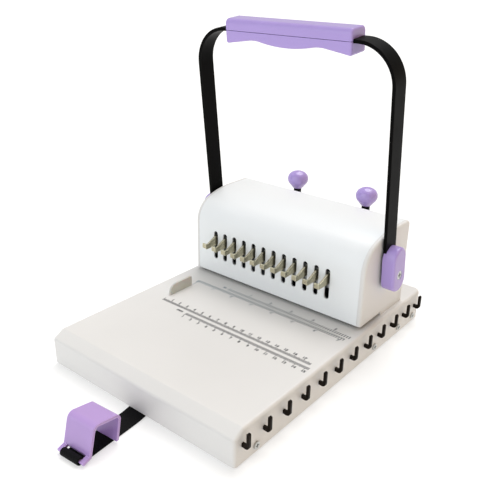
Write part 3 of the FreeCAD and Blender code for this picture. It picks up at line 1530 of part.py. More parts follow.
def grip_clip():
    """Moulded spring clip: an arch whose front leg ends in a toe with a slot and the bar for the strap."""
    body = new_body("grip_clip")
    swivelled(body, d.strap_reach, d.loop_radius)
    wall = d.clip_wall
    half = wall / 2
    end = d.clip_bar / 2
    top = d.clip_height - d.loop_radius
    foot = d.strap_thickness + d.clip_foot_gap - d.loop_radius
    toe_y, toe_z = cosine(d.loop_angle), sine(d.loop_angle)
    lean_y, lean_z = sine(d.clip_lean), cosine(d.clip_lean)
    slope_y, slope_z = cosine(d.clip_slope), sine(d.clip_slope)

    def toe_point(distance, off):
        return (distance * toe_y + off * toe_z, distance * toe_z - off * toe_y)

    knee_y, knee_z = toe_point(d.clip_toe, -half)
    half_turn = (90 - d.clip_lean - d.loop_angle) / 2
    knee_step = wall * sine(half_turn) / cosine(half_turn)
    wide = d.clip_front_corner
    centre_z = top - wide
    centre_y = knee_y + (centre_z + wide * lean_y - knee_z) * lean_y / lean_z + wide * lean_z
    small = d.clip_back_corner
    crown_y = centre_y + wide * slope_z
    crown_z = centre_z + wide * slope_y
    back_y = d.clip_depth - small * slope_y
    fall = (back_y + small * slope_z - crown_y) * slope_z / slope_y
    back_z = crown_z - fall - small * slope_y

    def arc_ends(radius):
        front_end = (centre_y - radius * lean_z, centre_z + radius * lean_y)
        return front_end, (centre_y + radius * slope_z, centre_z + radius * slope_y)

    def back_arc_ends(radius):
        low_end = (back_y + radius * slope_y, back_z - radius * slope_z)
        return low_end, (back_y + radius * slope_z, back_z + radius * slope_y)

    def foot_point(low_end):
        return (low_end[0] - (low_end[1] - foot) * slope_z / slope_y, foot)

    outer_low, outer_high = back_arc_ends(small)
    inner_low, inner_high = back_arc_ends(small - wall)
    outer_front, outer_crown = arc_ends(wide)
    inner_front, inner_crown = arc_ends(wide - wall)
    shape = sketch_on(body, "clip_side", "YZ_Plane")
    draw_outline(shape, [
        foot_point(outer_low), outer_low + (small,), outer_high, outer_crown + (wide,), outer_front,
        (knee_y, knee_z), toe_point(-end, -half), toe_point(-end, half),
        toe_point(d.clip_toe + knee_step, half), inner_front + (wall - wide,), inner_crown,
        inner_high + (wall - small,), inner_low, foot_point(inner_low),
    ])
    pad(body, shape, d.clip_width, both_ways=True)
    slot = sketch_on(body, "clip_slot", "YZ_Plane")
    near_edge = end
    far_edge = d.loop_radius + d.clip_slot_end
    draw_outline(slot, [toe_point(near_edge, -wall), toe_point(near_edge, wall),
                        toe_point(far_edge, wall), toe_point(far_edge, -wall)])
    pocket(body, slot, d.strap_width + 2 * d.free_clearance, both_ways=True)


def check_and_write():
    """Stop on any failed object, then write one file for each piece."""
    doc.recompute()
    for thing in doc.Objects:
        if "Invalid" in thing.State or "Error" in thing.State:
            raise RuntimeError("failed: %s %s" % (thing.Label, thing.State))
    os.makedirs("parts", exist_ok=True)
    for thing in parts:
        shape = thing.Shape
        if shape.isNull() or not shape.isValid() or not shape.Solids:
            raise RuntimeError("bad shape: " + thing.Label)
        shape.exportStep(os.path.join("parts", thing.Label + ".step"))
        print("%-20s solids %2d volume %10.1f" % (thing.Label, len(shape.Solids), shape.Volume))


base_cover()
rear_housing()
hood()
bottom_pan()
rubber_feet()
side_screws()
hood_screws()
side_frame("side_frame_left", -1)
side_frame("side_frame_right", 1)
die_set()
frame_fasteners()
shaft_bushes()
return_springs()
punch_bar()
punch_pins()
cam_pads()
finger_carrier()
wire_fingers()
closer_jaw()
handle_frame()
grip_shells()
pivot_shaft()
punch_cams()
hub_caps()
closer_base()
closer_levers()
for number in range(int(d.hook_count.value)):
    hook(number)
paper_stop()
chip_tray()
hold_down_strap()
grip_clip()
check_and_write()
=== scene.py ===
"""Dresses the wire binding machine: finishes, printed rulers, webbing strap and a photographer's table."""

import math

import bmesh
import bpy
from bpy.props import FloatProperty, FloatVectorProperty, IntProperty, PointerProperty
from bpy.types import NodeSocket, Operator, Panel, PropertyGroup
from mathutils import Matrix, Vector


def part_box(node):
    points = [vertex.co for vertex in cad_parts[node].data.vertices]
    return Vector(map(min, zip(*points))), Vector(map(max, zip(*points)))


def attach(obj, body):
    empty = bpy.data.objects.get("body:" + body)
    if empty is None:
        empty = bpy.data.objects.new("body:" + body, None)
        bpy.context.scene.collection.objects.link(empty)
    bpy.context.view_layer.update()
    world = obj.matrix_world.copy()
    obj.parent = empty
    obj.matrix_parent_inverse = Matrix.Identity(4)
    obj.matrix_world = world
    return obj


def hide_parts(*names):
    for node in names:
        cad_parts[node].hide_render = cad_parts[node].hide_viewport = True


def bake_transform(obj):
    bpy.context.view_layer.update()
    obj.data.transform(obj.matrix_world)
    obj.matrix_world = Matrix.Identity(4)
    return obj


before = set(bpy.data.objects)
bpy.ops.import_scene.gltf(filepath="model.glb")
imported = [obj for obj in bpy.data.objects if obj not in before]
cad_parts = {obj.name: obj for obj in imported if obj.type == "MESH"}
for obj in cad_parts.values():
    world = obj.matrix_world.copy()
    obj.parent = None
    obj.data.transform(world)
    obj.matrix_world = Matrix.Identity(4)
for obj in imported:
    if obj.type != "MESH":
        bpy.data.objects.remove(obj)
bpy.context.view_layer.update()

bl_info = {
    "name": "Wire Binding Machine",
    "version": (1, 0, 0),
    "blender": (4, 5, 0),
    "location": "3D View > Sidebar > Binding Machine",
    "description": "Finishes, rulers, strap and studio of a desk wire binding machine",
    "category": "Object",
}

MM = 0.001
INCH = 25.4 * MM

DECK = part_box("base_cover")[1].z
BASE_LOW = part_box("base_cover")[0].z
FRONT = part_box("base_cover")[0].y
STOP_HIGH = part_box("paper_stop")[1]
SLOT_OF = {name: node.data.materials[0].name for name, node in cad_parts.items()}


# Colours and sizes that a user would change


def linear(code):
    """Turns an sRGB hex colour into linear red, green and blue."""
    shares = [int(code[start:start + 2], 16) / 255 for start in (1, 3, 5)]
    return tuple(
        share / 12.92 if share <= 0.04045 else ((share + 0.055) / 1.055) ** 2.4
        for share in shares
    )


def colour_setting(name, description, code):
    """A colour that a user can change, given as sRGB hex."""
    return FloatVectorProperty(
        name=name, description=description, default=linear(code),
        subtype="COLOR", size=3, min=0.0, max=1.0,
    )


def length_setting(name, description, metres):
    """A length that a user can change, in metres."""
    return FloatProperty(
        name=name, description=description, default=metres,
        subtype="DISTANCE", unit="LENGTH", min=0.0, precision=5,
    )


class CaseSettings(PropertyGroup):
    """Shells, hood and paper stop"""

    shell: colour_setting("Shell", "Moulded base and rear housing", "#DAD8D5")
    hood: colour_setting("Hood", "Powder coat of the hood", "#E7E9E9")
    stop: colour_setting("Paper stop", "Frosted plate on the deck", "#C9C9C2")
    grain: length_setting("Mould grain", "Width of one grain of the shell's texture", 0.7 * MM)
    peel: length_setting("Coat waves", "Width of one wave in the powder coat", 2.2 * MM)
    edge: length_setting("Edge", "Radius that the mould and the coat leave on the edges", 0.5 * MM)


class PrintSettings(PropertyGroup):
    """Rulers printed on the deck"""

    ink: colour_setting("Ink", "Pad printed ink of the rulers", "#303134")
    pale_ink: colour_setting("Pale ink", "Thinner ink at the far ruler's left end", "#76858F")
    division: length_setting("Division", "Distance between two marks of the near ruler", 1.0 * MM)
    stroke: length_setting("Stroke", "Width of a mark of the near ruler", 0.55 * MM)
    far_stroke: length_setting("Far stroke", "Width of a mark of the far ruler", 0.95 * MM)
    film: length_setting("Film", "Thickness of the ink", 0.05 * MM)
    bold: length_setting("Bold", "Spread of the ink round each figure", 0.2 * MM)
    figure: length_setting("Figures", "Height of the figures", 3.0 * MM)
    upper_count: IntProperty(name="Upper numbers", description="Numbers along the near ruler's upper scale",
                             default=17, min=1, max=30)
    lower_count: IntProperty(name="Lower numbers", description="Numbers along the near ruler's lower scale",
                             default=15, min=1, max=30)


class HandleSettings(PropertyGroup):
    """Handle, grip and hub caps"""

    bar: colour_setting("Bar", "Baked enamel of the flat bar", "#060606")
    bare: colour_setting("Rubbed edge", "Enamel rubbed thin along the bar's edges", "#2A2927")
    plastic: colour_setting("Plastic", "Lavender of grip, caps and knobs", "#A892CF")
    clip: colour_setting("Clip", "Pinker lavender of the clip", "#B294CD")
    edge: length_setting("Edge", "Radius on the edges of bar, caps and grip", 0.9 * MM)


class MetalSettings(PropertyGroup):
    """Fingers, hooks, levers, screws and the steel inside"""

    nickel: colour_setting("Fingers", "Nickel plating of the fingers", "#C4BEA4")
    hook: colour_setting("Hooks", "Black oxide of the hooks", "#0A0705")
    worn: colour_setting("Worn oxide", "Brown that shows where the oxide is thin", "#241A11")
    lever: colour_setting("Levers", "Enamel of the closing levers", "#0F0F0F")
    zinc: colour_setting("Screws", "Bright zinc plating", "#C6C7C4")
    steel: colour_setting("Plate steel", "Pressed mild steel", "#A9ABAC")
    tool: colour_setting("Tool steel", "Ground tool steel", "#8B8D90")
    bronze: colour_setting("Bushes", "Sintered bronze", "#A27B46")
    edge: length_setting("Edge", "Radius on fingers, hooks and levers", 0.4 * MM)


class SoftSettings(PropertyGroup):
    """Strap, feet and tray"""

    webbing: colour_setting("Webbing", "Yarn of the hold-down strap", "#060607")
    thread: colour_setting("Sewing thread", "Thread of the strap's seam", "#242428")
    rubber: colour_setting("Rubber", "Moulded feet", "#2B2B2C")
    tray: colour_setting("Tray", "Chip tray", "#8E86A3")
    yarn: length_setting("Yarn", "Distance between two yarns of the webbing", 1.25 * MM)
    crest: length_setting("Crest", "Height of a yarn above the gaps beside it", 0.16 * MM)
    stitch: length_setting("Stitch", "Length of one stitch of the seam", 2.2 * MM)


class StudioSettings(PropertyGroup):
    """Floor, lights and camera"""

    floor: colour_setting("Floor", "Pale opal table top", "#BEBEBD")
    floor_side: length_setting("Floor side", "Length of the table top's side", 60.0)
    above: colour_setting("Sky above", "Room light from overhead", "#FFFFFF")
    warm: colour_setting("Warm side", "Room light from the right", "#FFCC7A")
    cool: colour_setting("Cool side", "Room light from the front", "#DAE7F2")
    sky: FloatProperty(name="Room light", description="Brightness of the room around the object",
                       default=0.62, min=0.0, max=5.0)
    key: FloatProperty(name="Key light", description="Strength of the light from above and behind",
                       default=2.0, min=0.0, max=20.0)
    fill: FloatProperty(name="Fill light", description="Strength of the low light from in front",
                        default=1.0, min=0.0, max=20.0)
    table: FloatProperty(name="Table glow", description="Light that the back-lit table top gives off",
                         default=0.52, min=0.0, max=5.0)
    lens: FloatProperty(name="Lens", description="Focal length of the camera in millimetres",
                        default=46.28, min=10.0, max=200.0)


# Nodes and patterns


def add_node(tree, kind, inputs=None, output=0, **settings):
    """Adds a node, sets its properties, fills or links its inputs, and gives back one of its outputs."""
    made = tree.nodes.new(kind)
    for name, value in settings.items():
        setattr(made, name, value)
    for name, value in (inputs or {}).items():
        if isinstance(value, NodeSocket):
            tree.links.new(value, made.inputs[name])
        else:
            made.inputs[name].default_value = value
    return made.outputs[output] if len(made.outputs) else made


def rgba(colour, share=1.0):
    """The colour with alpha, made darker or lighter by a share."""
    return tuple(min(1.0, part * share) for part in colour) + (1.0,)


def start_finish(name):
    """An empty material's nodes, and the object's own coordinates in metres."""
    material = bpy.data.materials.get(name) or bpy.data.materials.new(name)
    material.use_nodes = True
    tree = material.node_tree
    tree.nodes.clear()
    place = add_node(tree, "ShaderNodeTexCoord", output="Object")
    return material, tree, place


def end_finish(material, tree, inputs):
    """Adds the shader with its sockets, constants set on them, and hands back the material."""
    surface = add_node(tree, "ShaderNodeBsdfPrincipled", inputs)
    add_node(tree, "ShaderNodeOutputMaterial", {"Surface": surface})
    return material


def patches(tree, place, width, low, high, detail=2.0):
    """Values that drift between low and high in patches about one width across."""
    cloud = add_node(tree, "ShaderNodeTexNoise", {"Vector": place, "Scale": 1.0 / width, "Detail": detail})
    return add_node(tree, "ShaderNodeMapRange", {
        "Value": cloud, "From Min": 0.3, "From Max": 0.7, "To Min": low, "To Max": high,
    })


def drawn_out(tree, place, axis, share):
    """Coordinates that draw a pattern out along one axis, as rolling, grinding or spinning does."""
    scale = tuple(share if name == axis else 1.0 for name in "XYZ")
    return add_node(tree, "ShaderNodeMapping", {"Vector": place, "Scale": scale})


def edges(tree, radius):
    """A normal that rounds the edges by a radius, and a share that is 1 on them and 0 on flats."""
    rounded = add_node(tree, "ShaderNodeBevel", {"Radius": radius}, samples=6)
    flat = add_node(tree, "ShaderNodeNewGeometry", output="Normal")
    facing = add_node(tree, "ShaderNodeVectorMath", {0: rounded, 1: flat}, "Value", operation="DOT_PRODUCT")
    share = add_node(tree, "ShaderNodeMapRange", {
        "Value": facing, "From Min": 1.0, "From Max": 0.9, "To Min": 0.0, "To Max": 1.0,
    })
    return rounded, share


# Finishes


def shell_finish(settings):
    """Injection moulded ABS from a spark eroded mould: matt off-white with a fine even grain.

    The grain breaks reflections up into a soft sheen, and slow drifts in the melt dull the white a
    little. The edges are painted lighter, a painted highlight for the light that the rounded rims
    catch. The real grain is 0.1 mm and would not show, so it is drawn coarser.
    """
    material, tree, place = start_finish("Housing_Moulded_ABS")
    rounded, edge = edges(tree, settings.edge)
    drift = patches(tree, place, 90 * MM, 0.0, 1.0)
    melt = add_node(tree, "ShaderNodeMix", {
        0: drift, 6: rgba(settings.shell), 7: rgba(settings.shell, 0.965),
    }, 2, data_type="RGBA")
    # Painted highlight: the edges are mixed towards a lighter shell colour, for the light the rims catch.
    tint = add_node(tree, "ShaderNodeMix", {
        0: edge, 6: melt, 7: rgba(settings.shell, 1.12),
    }, 2, data_type="RGBA")
    grain = add_node(tree, "ShaderNodeTexNoise", {
        "Vector": place, "Scale": 1.0 / settings.grain, "Detail": 3.0, "Roughness": 0.6,
    })
    skin = add_node(tree, "ShaderNodeBump", {
        "Height": grain, "Distance": 0.02 * MM, "Strength": 0.35, "Normal": rounded,
    })
    return end_finish(material, tree, {
        "Base Color": tint, "Roughness": patches(tree, place, 25 * MM, 0.38, 0.47), "Normal": skin,
        "IOR": 1.53,
    })


def hood_finish(settings):
    """Sheet steel, powder coated and baked: brighter than the shells, with shallow flowed waves.

    The waves bend the soft reflections along the crown as they do on a real coat. The sheet's
    edges are painted darker, a painted shade for the shadow lines at the seams beside the end
    panels and along the hood's bottom edge.
    """
    material, tree, place = start_finish("Hood_Powder_Coat")
    rounded, edge = edges(tree, settings.edge)
    drift = patches(tree, place, 70 * MM, 0.0, 1.0)
    baked = add_node(tree, "ShaderNodeMix", {
        0: drift, 6: rgba(settings.hood), 7: rgba(settings.hood, 0.975),
    }, 2, data_type="RGBA")
    # Painted shade: the edges are mixed towards a darker hood colour, for the shadow lines at the seams.
    tint = add_node(tree, "ShaderNodeMix", {
        0: edge, 6: baked, 7: rgba(settings.hood, 0.5),
    }, 2, data_type="RGBA")
    waves = add_node(tree, "ShaderNodeTexNoise", {
        "Vector": place, "Scale": 1.0 / settings.peel, "Detail": 1.0,
    })
    coat = add_node(tree, "ShaderNodeBump", {
        "Height": waves, "Distance": 0.03 * MM, "Strength": 0.3, "Normal": rounded,
    })
    return end_finish(material, tree, {
        "Base Color": tint, "Roughness": patches(tree, place, 30 * MM, 0.29, 0.32), "Normal": coat,
        "IOR": 1.5,
    })


def stop_finish(settings):
    """Frosted polystyrene sheet, sawn and edge polished: milky, with light let through its edges."""
    material, tree, place = start_finish("Stop_Frosted_Polystyrene")
    tint = add_node(tree, "ShaderNodeMix", {
        0: patches(tree, place, 12 * MM, 0.0, 1.0), 6: rgba(settings.stop), 7: rgba(settings.stop, 0.93),
    }, 2, data_type="RGBA")
    frost = add_node(tree, "ShaderNodeTexNoise", {"Vector": place, "Scale": 1.0 / (0.6 * MM)})
    skin = add_node(tree, "ShaderNodeBump", {"Height": frost, "Distance": 0.01 * MM, "Strength": 0.3})
    return end_finish(material, tree, {
        "Base Color": tint, "Roughness": patches(tree, place, 3 * MM, 0.3, 0.42), "Normal": skin,
        "IOR": 1.59, "Subsurface Weight": 0.25, "Subsurface Scale": 2 * MM,
    })


def lavender_finish(name, colour, radius):
    """Moulded ABS from a polished mould: an even lavender gloss, with faint flow in the colour.

    Handling dulls it in slow patches. The edges are painted lighter, a painted highlight for the
    light that the rounded rims catch.
    """
    material, tree, place = start_finish(name)
    rounded, edge = edges(tree, radius)
    flow = patches(tree, drawn_out(tree, place, "X", 0.4), 22 * MM, 0.0, 1.0)
    body = add_node(tree, "ShaderNodeMix", {
        0: flow, 6: rgba(colour), 7: rgba(colour, 0.97),
    }, 2, data_type="RGBA")
    # Painted highlight: the edges are mixed towards a lighter lavender, for the light the rims catch.
    tint = add_node(tree, "ShaderNodeMix", {
        0: edge, 6: body, 7: rgba(colour, 1.4),
    }, 2, data_type="RGBA")
    skin = add_node(tree, "ShaderNodeTexNoise", {"Vector": place, "Scale": 1.0 / (1.1 * MM)})
    bumps = add_node(tree, "ShaderNodeBump", {
        "Height": skin, "Distance": 0.01 * MM, "Strength": 0.3, "Normal": rounded,
    })
    return end_finish(material, tree, {
        "Base Color": tint, "Roughness": patches(tree, place, 14 * MM, 0.2, 0.26, 3.0),
        "Normal": bumps, "IOR": 1.53,
    })


def enamel_finish(name, colour, bare, edge_radius, gloss):
    """Steel sprayed with black enamel and baked: satin black with a tight peel.

    Hands and paper rub the edges, where the film is thin and a dark brown grey shows.
    """
    material, tree, place = start_finish(name)
    rounded, edge = edges(tree, edge_radius)
    rub = patches(tree, place, 8 * MM, 0.0, 1.0, 4.0)
    worn = add_node(tree, "ShaderNodeMath", {0: edge, 1: rub}, operation="MULTIPLY")
    tint = add_node(tree, "ShaderNodeMix", {0: worn, 6: rgba(colour), 7: rgba(bare)}, 2, data_type="RGBA")
    peel = add_node(tree, "ShaderNodeTexNoise", {
        "Vector": place, "Scale": 1.0 / (1.6 * MM), "Detail": 1.5,
    })
    film = add_node(tree, "ShaderNodeBump", {
        "Height": peel, "Distance": 0.03 * MM, "Strength": 0.35, "Normal": rounded,
    })
    return end_finish(material, tree, {
        "Base Color": tint, "Roughness": patches(tree, place, 30 * MM, gloss, gloss + 0.1, 3.0),
        "Normal": film, "IOR": 1.5, "Specular IOR Level": 0.035,
    })


def nickel_finish(settings):
    """Blanked steel, tumbled and nickel plated: a warm grey mirror, dulled along the stamping.

    The edges are painted brighter than the flats, a painted highlight for the light that the edges
    catch. The streaks are drawn coarser than stamping leaves them, so that they show.
    """
    material, tree, place = start_finish("Finger_Nickel_Plate")
    rounded, edge = edges(tree, settings.edge)
    streaks = patches(tree, drawn_out(tree, place, "Y", 0.12), 0.9 * MM, 0.0, 1.0, 3.0)
    flats = add_node(tree, "ShaderNodeMix", {
        0: streaks, 6: rgba(settings.nickel), 7: rgba(settings.nickel, 0.7),
    }, 2, data_type="RGBA")
    # Painted highlight: the edges are mixed towards a much brighter nickel, for the light they catch.
    tint = add_node(tree, "ShaderNodeMix", {
        0: edge, 6: flats, 7: rgba(settings.nickel, 2.1),
    }, 2, data_type="RGBA")
    lines = add_node(tree, "ShaderNodeBump", {
        "Height": streaks, "Distance": 0.02 * MM, "Strength": 0.3, "Normal": rounded,
    })
    return end_finish(material, tree, {
        "Base Color": tint, "Roughness": patches(tree, place, 5 * MM, 0.24, 0.42), "Normal": lines,
        "Metallic": 1.0,
    })


def oxide_finish(settings):
    """Bent steel wire and sheet in oiled black oxide: almost black, brown where the oxide is thin."""
    material, tree, place = start_finish("Hook_Black_Oxide")
    rounded, edge = edges(tree, settings.edge)
    thin = patches(tree, place, 2.5 * MM, 0.0, 0.6, 3.0)
    share = add_node(tree, "ShaderNodeMath", {0: thin, 1: edge}, operation="MAXIMUM")
    tint = add_node(tree, "ShaderNodeMix", {
        0: share, 6: rgba(settings.hook), 7: rgba(settings.worn),
    }, 2, data_type="RGBA")
    scale = add_node(tree, "ShaderNodeTexNoise", {"Vector": place, "Scale": 1.0 / (0.9 * MM)})
    bumps = add_node(tree, "ShaderNodeBump", {
        "Height": scale, "Distance": 0.02 * MM, "Strength": 0.3, "Normal": rounded,
    })
    return end_finish(material, tree, {
        "Base Color": tint, "Roughness": patches(tree, place, 4 * MM, 0.34, 0.5), "Normal": bumps,
        "IOR": 1.5, "Specular IOR Level": 0.08,
    })


def steel_finish(name, colour, line, rough, along):
    """Bare or plated steel: fine lines run along one axis, as rolling, grinding or turning leaves them.

    The lines spread a reflection across them, and the thicker ones are a little darker. Real lines
    are too fine to show, so they are drawn coarser.
    """
    material, tree, place = start_finish(name)
    lines = patches(tree, drawn_out(tree, place, along, 0.06), line, 0.0, 1.0, 4.0)
    tint = add_node(tree, "ShaderNodeMix", {
        0: lines, 6: rgba(colour), 7: rgba(colour, 0.8),
    }, 2, data_type="RGBA")
    gloss = add_node(tree, "ShaderNodeMapRange", {
        "Value": lines, "To Min": rough * 0.8, "To Max": rough * 1.25,
    })
    scratches = add_node(tree, "ShaderNodeBump", {
        "Height": lines, "Distance": 0.01 * MM, "Strength": 0.4,
    })
    return end_finish(material, tree, {
        "Base Color": tint, "Roughness": gloss, "Normal": scratches, "Metallic": 1.0,
    })


def bronze_finish(settings):
    """Sintered bronze soaked in oil: brown gold with fine pits between the pressed grains."""
    material, tree, place = start_finish("Bush_Sintered_Bronze")
    pits = patches(tree, place, 0.5 * MM, 0.0, 1.0, 3.0)
    tint = add_node(tree, "ShaderNodeMix", {
        0: pits, 6: rgba(settings.bronze), 7: rgba(settings.bronze, 0.6),
    }, 2, data_type="RGBA")
    gloss = add_node(tree, "ShaderNodeMapRange", {"Value": pits, "To Min": 0.35, "To Max": 0.55})
    bumps = add_node(tree, "ShaderNodeBump", {"Height": pits, "Distance": 0.05 * MM, "Strength": 0.4})
    return end_finish(material, tree, {
        "Base Color": tint, "Roughness": gloss, "Normal": bumps, "Metallic": 1.0,
    })


def ink_finish(name, colour, pale):
    """Pad printing ink: a matt film, thinner in places where the shell's grain took less of it.

    The pad also left less ink towards the left end, which looks paler and bluer.
    """
    material, tree, place = start_finish(name)
    across = add_node(tree, "ShaderNodeSeparateXYZ", {0: place}, "X")
    share = add_node(tree, "ShaderNodeMapRange", {
        "Value": across, "From Min": 60 * MM, "From Max": -60 * MM,
    })
    film = add_node(tree, "ShaderNodeMix", {
        0: share, 6: rgba(colour), 7: rgba(pale),
    }, 2, data_type="RGBA")
    cover = patches(tree, place, 0.8 * MM, 0.0, 0.25)
    tint = add_node(tree, "ShaderNodeMix", {
        0: cover, 6: film, 7: rgba(pale, 1.4),
    }, 2, data_type="RGBA")
    return end_finish(material, tree, {"Base Color": tint, "Roughness": 0.6, "IOR": 1.48})


def webbing_finish(settings):
    """Woven polypropylene: black yarns of parallel fibres, with a dull sheen on each crest.

    The fibres run along the strap and shift the black by a shade from one to the next. Yarns and
    fibres are drawn coarser than they are, because they would not show.
    """
    material, tree, place = start_finish("Strap_Woven_Polypropylene")
    fibres = patches(tree, drawn_out(tree, place, "Y", 0.2), 0.35 * MM, 0.0, 1.0, 3.0)
    tint = add_node(tree, "ShaderNodeMix", {
        0: fibres, 6: rgba(settings.webbing), 7: rgba(settings.webbing, 2.2),
    }, 2, data_type="RGBA")
    gloss = add_node(tree, "ShaderNodeMapRange", {"Value": fibres, "To Min": 0.6, "To Max": 0.8})
    bumps = add_node(tree, "ShaderNodeBump", {"Height": fibres, "Distance": 0.05 * MM, "Strength": 0.5})
    return end_finish(material, tree, {
        "Base Color": tint, "Roughness": gloss, "Normal": bumps, "IOR": 1.49,
        "Sheen Weight": 0.03, "Sheen Roughness": 0.5, "Specular IOR Level": 0.1,
    })


def thread_finish(settings):
    """Twisted polyester sewing thread: a tight twist that glints a little more than the webbing."""
    material, tree, place = start_finish("Seam_Twisted_Polyester")
    twist = add_node(tree, "ShaderNodeTexWave", {
        "Vector": place, "Scale": 1.0 / (1.6 * MM), "Distortion": 1.0,
    }, "Fac", bands_direction="DIAGONAL")
    tint = add_node(tree, "ShaderNodeMix", {
        0: twist, 6: rgba(settings.thread), 7: rgba(settings.thread, 1.8),
    }, 2, data_type="RGBA")
    bumps = add_node(tree, "ShaderNodeBump", {"Height": twist, "Distance": 0.06 * MM, "Strength": 0.5})
    return end_finish(material, tree, {
        "Base Color": tint, "Roughness": 0.45, "Normal": bumps, "IOR": 1.6,
    })


def rubber_finish(settings):
    """Moulded nitrile rubber: matt grey black with a dusty bloom."""
    material, tree, place = start_finish("Foot_Moulded_Rubber")
    bloom = patches(tree, place, 5 * MM, 0.0, 1.0, 4.0)
    tint = add_node(tree, "ShaderNodeMix", {
        0: bloom, 6: rgba(settings.rubber), 7: rgba(settings.rubber, 1.6),
    }, 2, data_type="RGBA")
    gloss = add_node(tree, "ShaderNodeMapRange", {"Value": bloom, "To Min": 0.7, "To Max": 0.85})
    bumps = add_node(tree, "ShaderNodeBump", {"Height": bloom, "Distance": 0.02 * MM, "Strength": 0.3})
    return end_finish(material, tree, {
        "Base Color": tint, "Roughness": gloss, "Normal": bumps, "IOR": 1.52,
    })


def tray_finish(settings):
    """Moulded polypropylene: waxy and slightly milky, with slow flow marks from the gate."""
    material, tree, place = start_finish("Tray_Moulded_Polypropylene")
    rounded = edges(tree, 0.4 * MM)[0]
    flow = patches(tree, drawn_out(tree, place, "X", 0.3), 15 * MM, 0.0, 1.0)
    tint = add_node(tree, "ShaderNodeMix", {
        0: flow, 6: rgba(settings.tray), 7: rgba(settings.tray, 0.92),
    }, 2, data_type="RGBA")
    gloss = add_node(tree, "ShaderNodeMapRange", {"Value": flow, "To Min": 0.38, "To Max": 0.5})
    skin = add_node(tree, "ShaderNodeTexNoise", {"Vector": place, "Scale": 1.0 / (0.7 * MM)})
    bumps = add_node(tree, "ShaderNodeBump", {
        "Height": skin, "Distance": 0.01 * MM, "Strength": 0.3, "Normal": rounded,
    })
    return end_finish(material, tree, {
        "Base Color": tint, "Roughness": gloss, "Normal": bumps, "IOR": 1.49,
        "Subsurface Weight": 0.1, "Subsurface Scale": 1 * MM,
    })


def floor_finish(settings):
    """Opal acrylic table top, lit a little from below: near white, and shadows on it stay pale."""
    material, tree, place = start_finish("Studio_Opal_Acrylic")
    cloud = patches(tree, place, 0.5, 0.0, 1.0)
    tint = add_node(tree, "ShaderNodeMix", {
        0: cloud, 6: rgba(settings.floor), 7: rgba(settings.floor, 0.99),
    }, 2, data_type="RGBA")
    return end_finish(material, tree, {
        "Base Color": tint, "Roughness": 0.75, "Specular IOR Level": 0.1,
        "Emission Color": rgba(settings.above), "Emission Strength": settings.table,
    })


# Pieces


def nodes_of(*slots):
    """Names of the packed nodes that take their finish from these slots."""
    return [name for name, slot in SLOT_OF.items() if slot in slots]


def finish_nodes(material, names):
    """Gives packed nodes their material."""
    for name in names:
        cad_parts[name].data.materials[0] = material


def add_piece(name, mesh, body, materials, replaces=()):
    """Adds a mesh of its own to the object, riding on a body, or on none if it bends between two."""
    old = bpy.data.objects.get(name)
    if old is not None:
        bpy.data.objects.remove(old)
    mesh.materials.clear()
    for material in materials:
        mesh.materials.append(material)
    made = bpy.data.objects.new(name, mesh)
    bpy.context.scene.collection.objects.link(made)
    if body:
        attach(made, body)
    if replaces:
        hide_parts(*replaces)
    return made


def stretch_springs(material):
    """Adds the return springs again as a copy of their coils, riding on no body."""
    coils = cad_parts["return_springs"].data.copy()
    springs = add_piece("return_spring_coils", coils, None, [material], ["return_springs"])
    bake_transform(springs)


def to_mesh(name, build):
    """The mesh of a finished bmesh."""
    mesh = bpy.data.meshes.new(name)
    bmesh.ops.recalc_face_normals(build, faces=build.faces)
    build.to_mesh(mesh)
    build.free()
    return mesh


# Rulers


MARK_GROUPS = (10, 5, 1)
FONT_SHARE = 1.4
UNIT_SHARE = 1.2


def add_mark(build, left, right, near, far, film):
    """Adds a thin bar of ink on the deck."""
    corners = [build.verts.new((x, FRONT + y, z))
               for z in (DECK, DECK + film) for y in (near, far) for x in (left, right)]
    for face in ((0, 2, 3, 1), (4, 5, 7, 6), (0, 1, 5, 4), (2, 6, 7, 3), (0, 4, 6, 2), (1, 3, 7, 5)):
        build.faces.new([corners[k] for k in face])


def add_text(build, text, height, x, y, settings):
    """Adds figures or a unit in thin ink, centred on a point of the deck."""
    curve = bpy.data.curves.new("figures", "FONT")
    curve.body = str(text)
    curve.size = height * FONT_SHARE
    curve.align_x = "CENTER"
    curve.align_y = "CENTER"
    curve.extrude = settings.film / 2
    curve.offset = settings.bold
    curve.resolution_u = 3
    holder = bpy.data.objects.new("figures", curve)
    mesh = bpy.data.meshes.new_from_object(holder)
    mesh.transform(Matrix.Translation((x, FRONT + y, DECK + settings.film / 2)))
    build.from_mesh(mesh)
    bpy.data.objects.remove(holder)
    bpy.data.curves.remove(curve)
    bpy.data.meshes.remove(mesh)


def add_scale(build, stroke, film, start, end, line, step, lengths):
    """Adds marks that start on one line; every tenth and every fifth has a length of its own."""
    half = stroke / 2
    for number in range(int((end - start) / step + 0.5) + 1):
        x = start + number * step
        length = next(long for every, long in zip(MARK_GROUPS, lengths) if number % every == 0)
        near, far = sorted((line, line + length))
        add_mark(build, x - half, x + half, near, far, film)


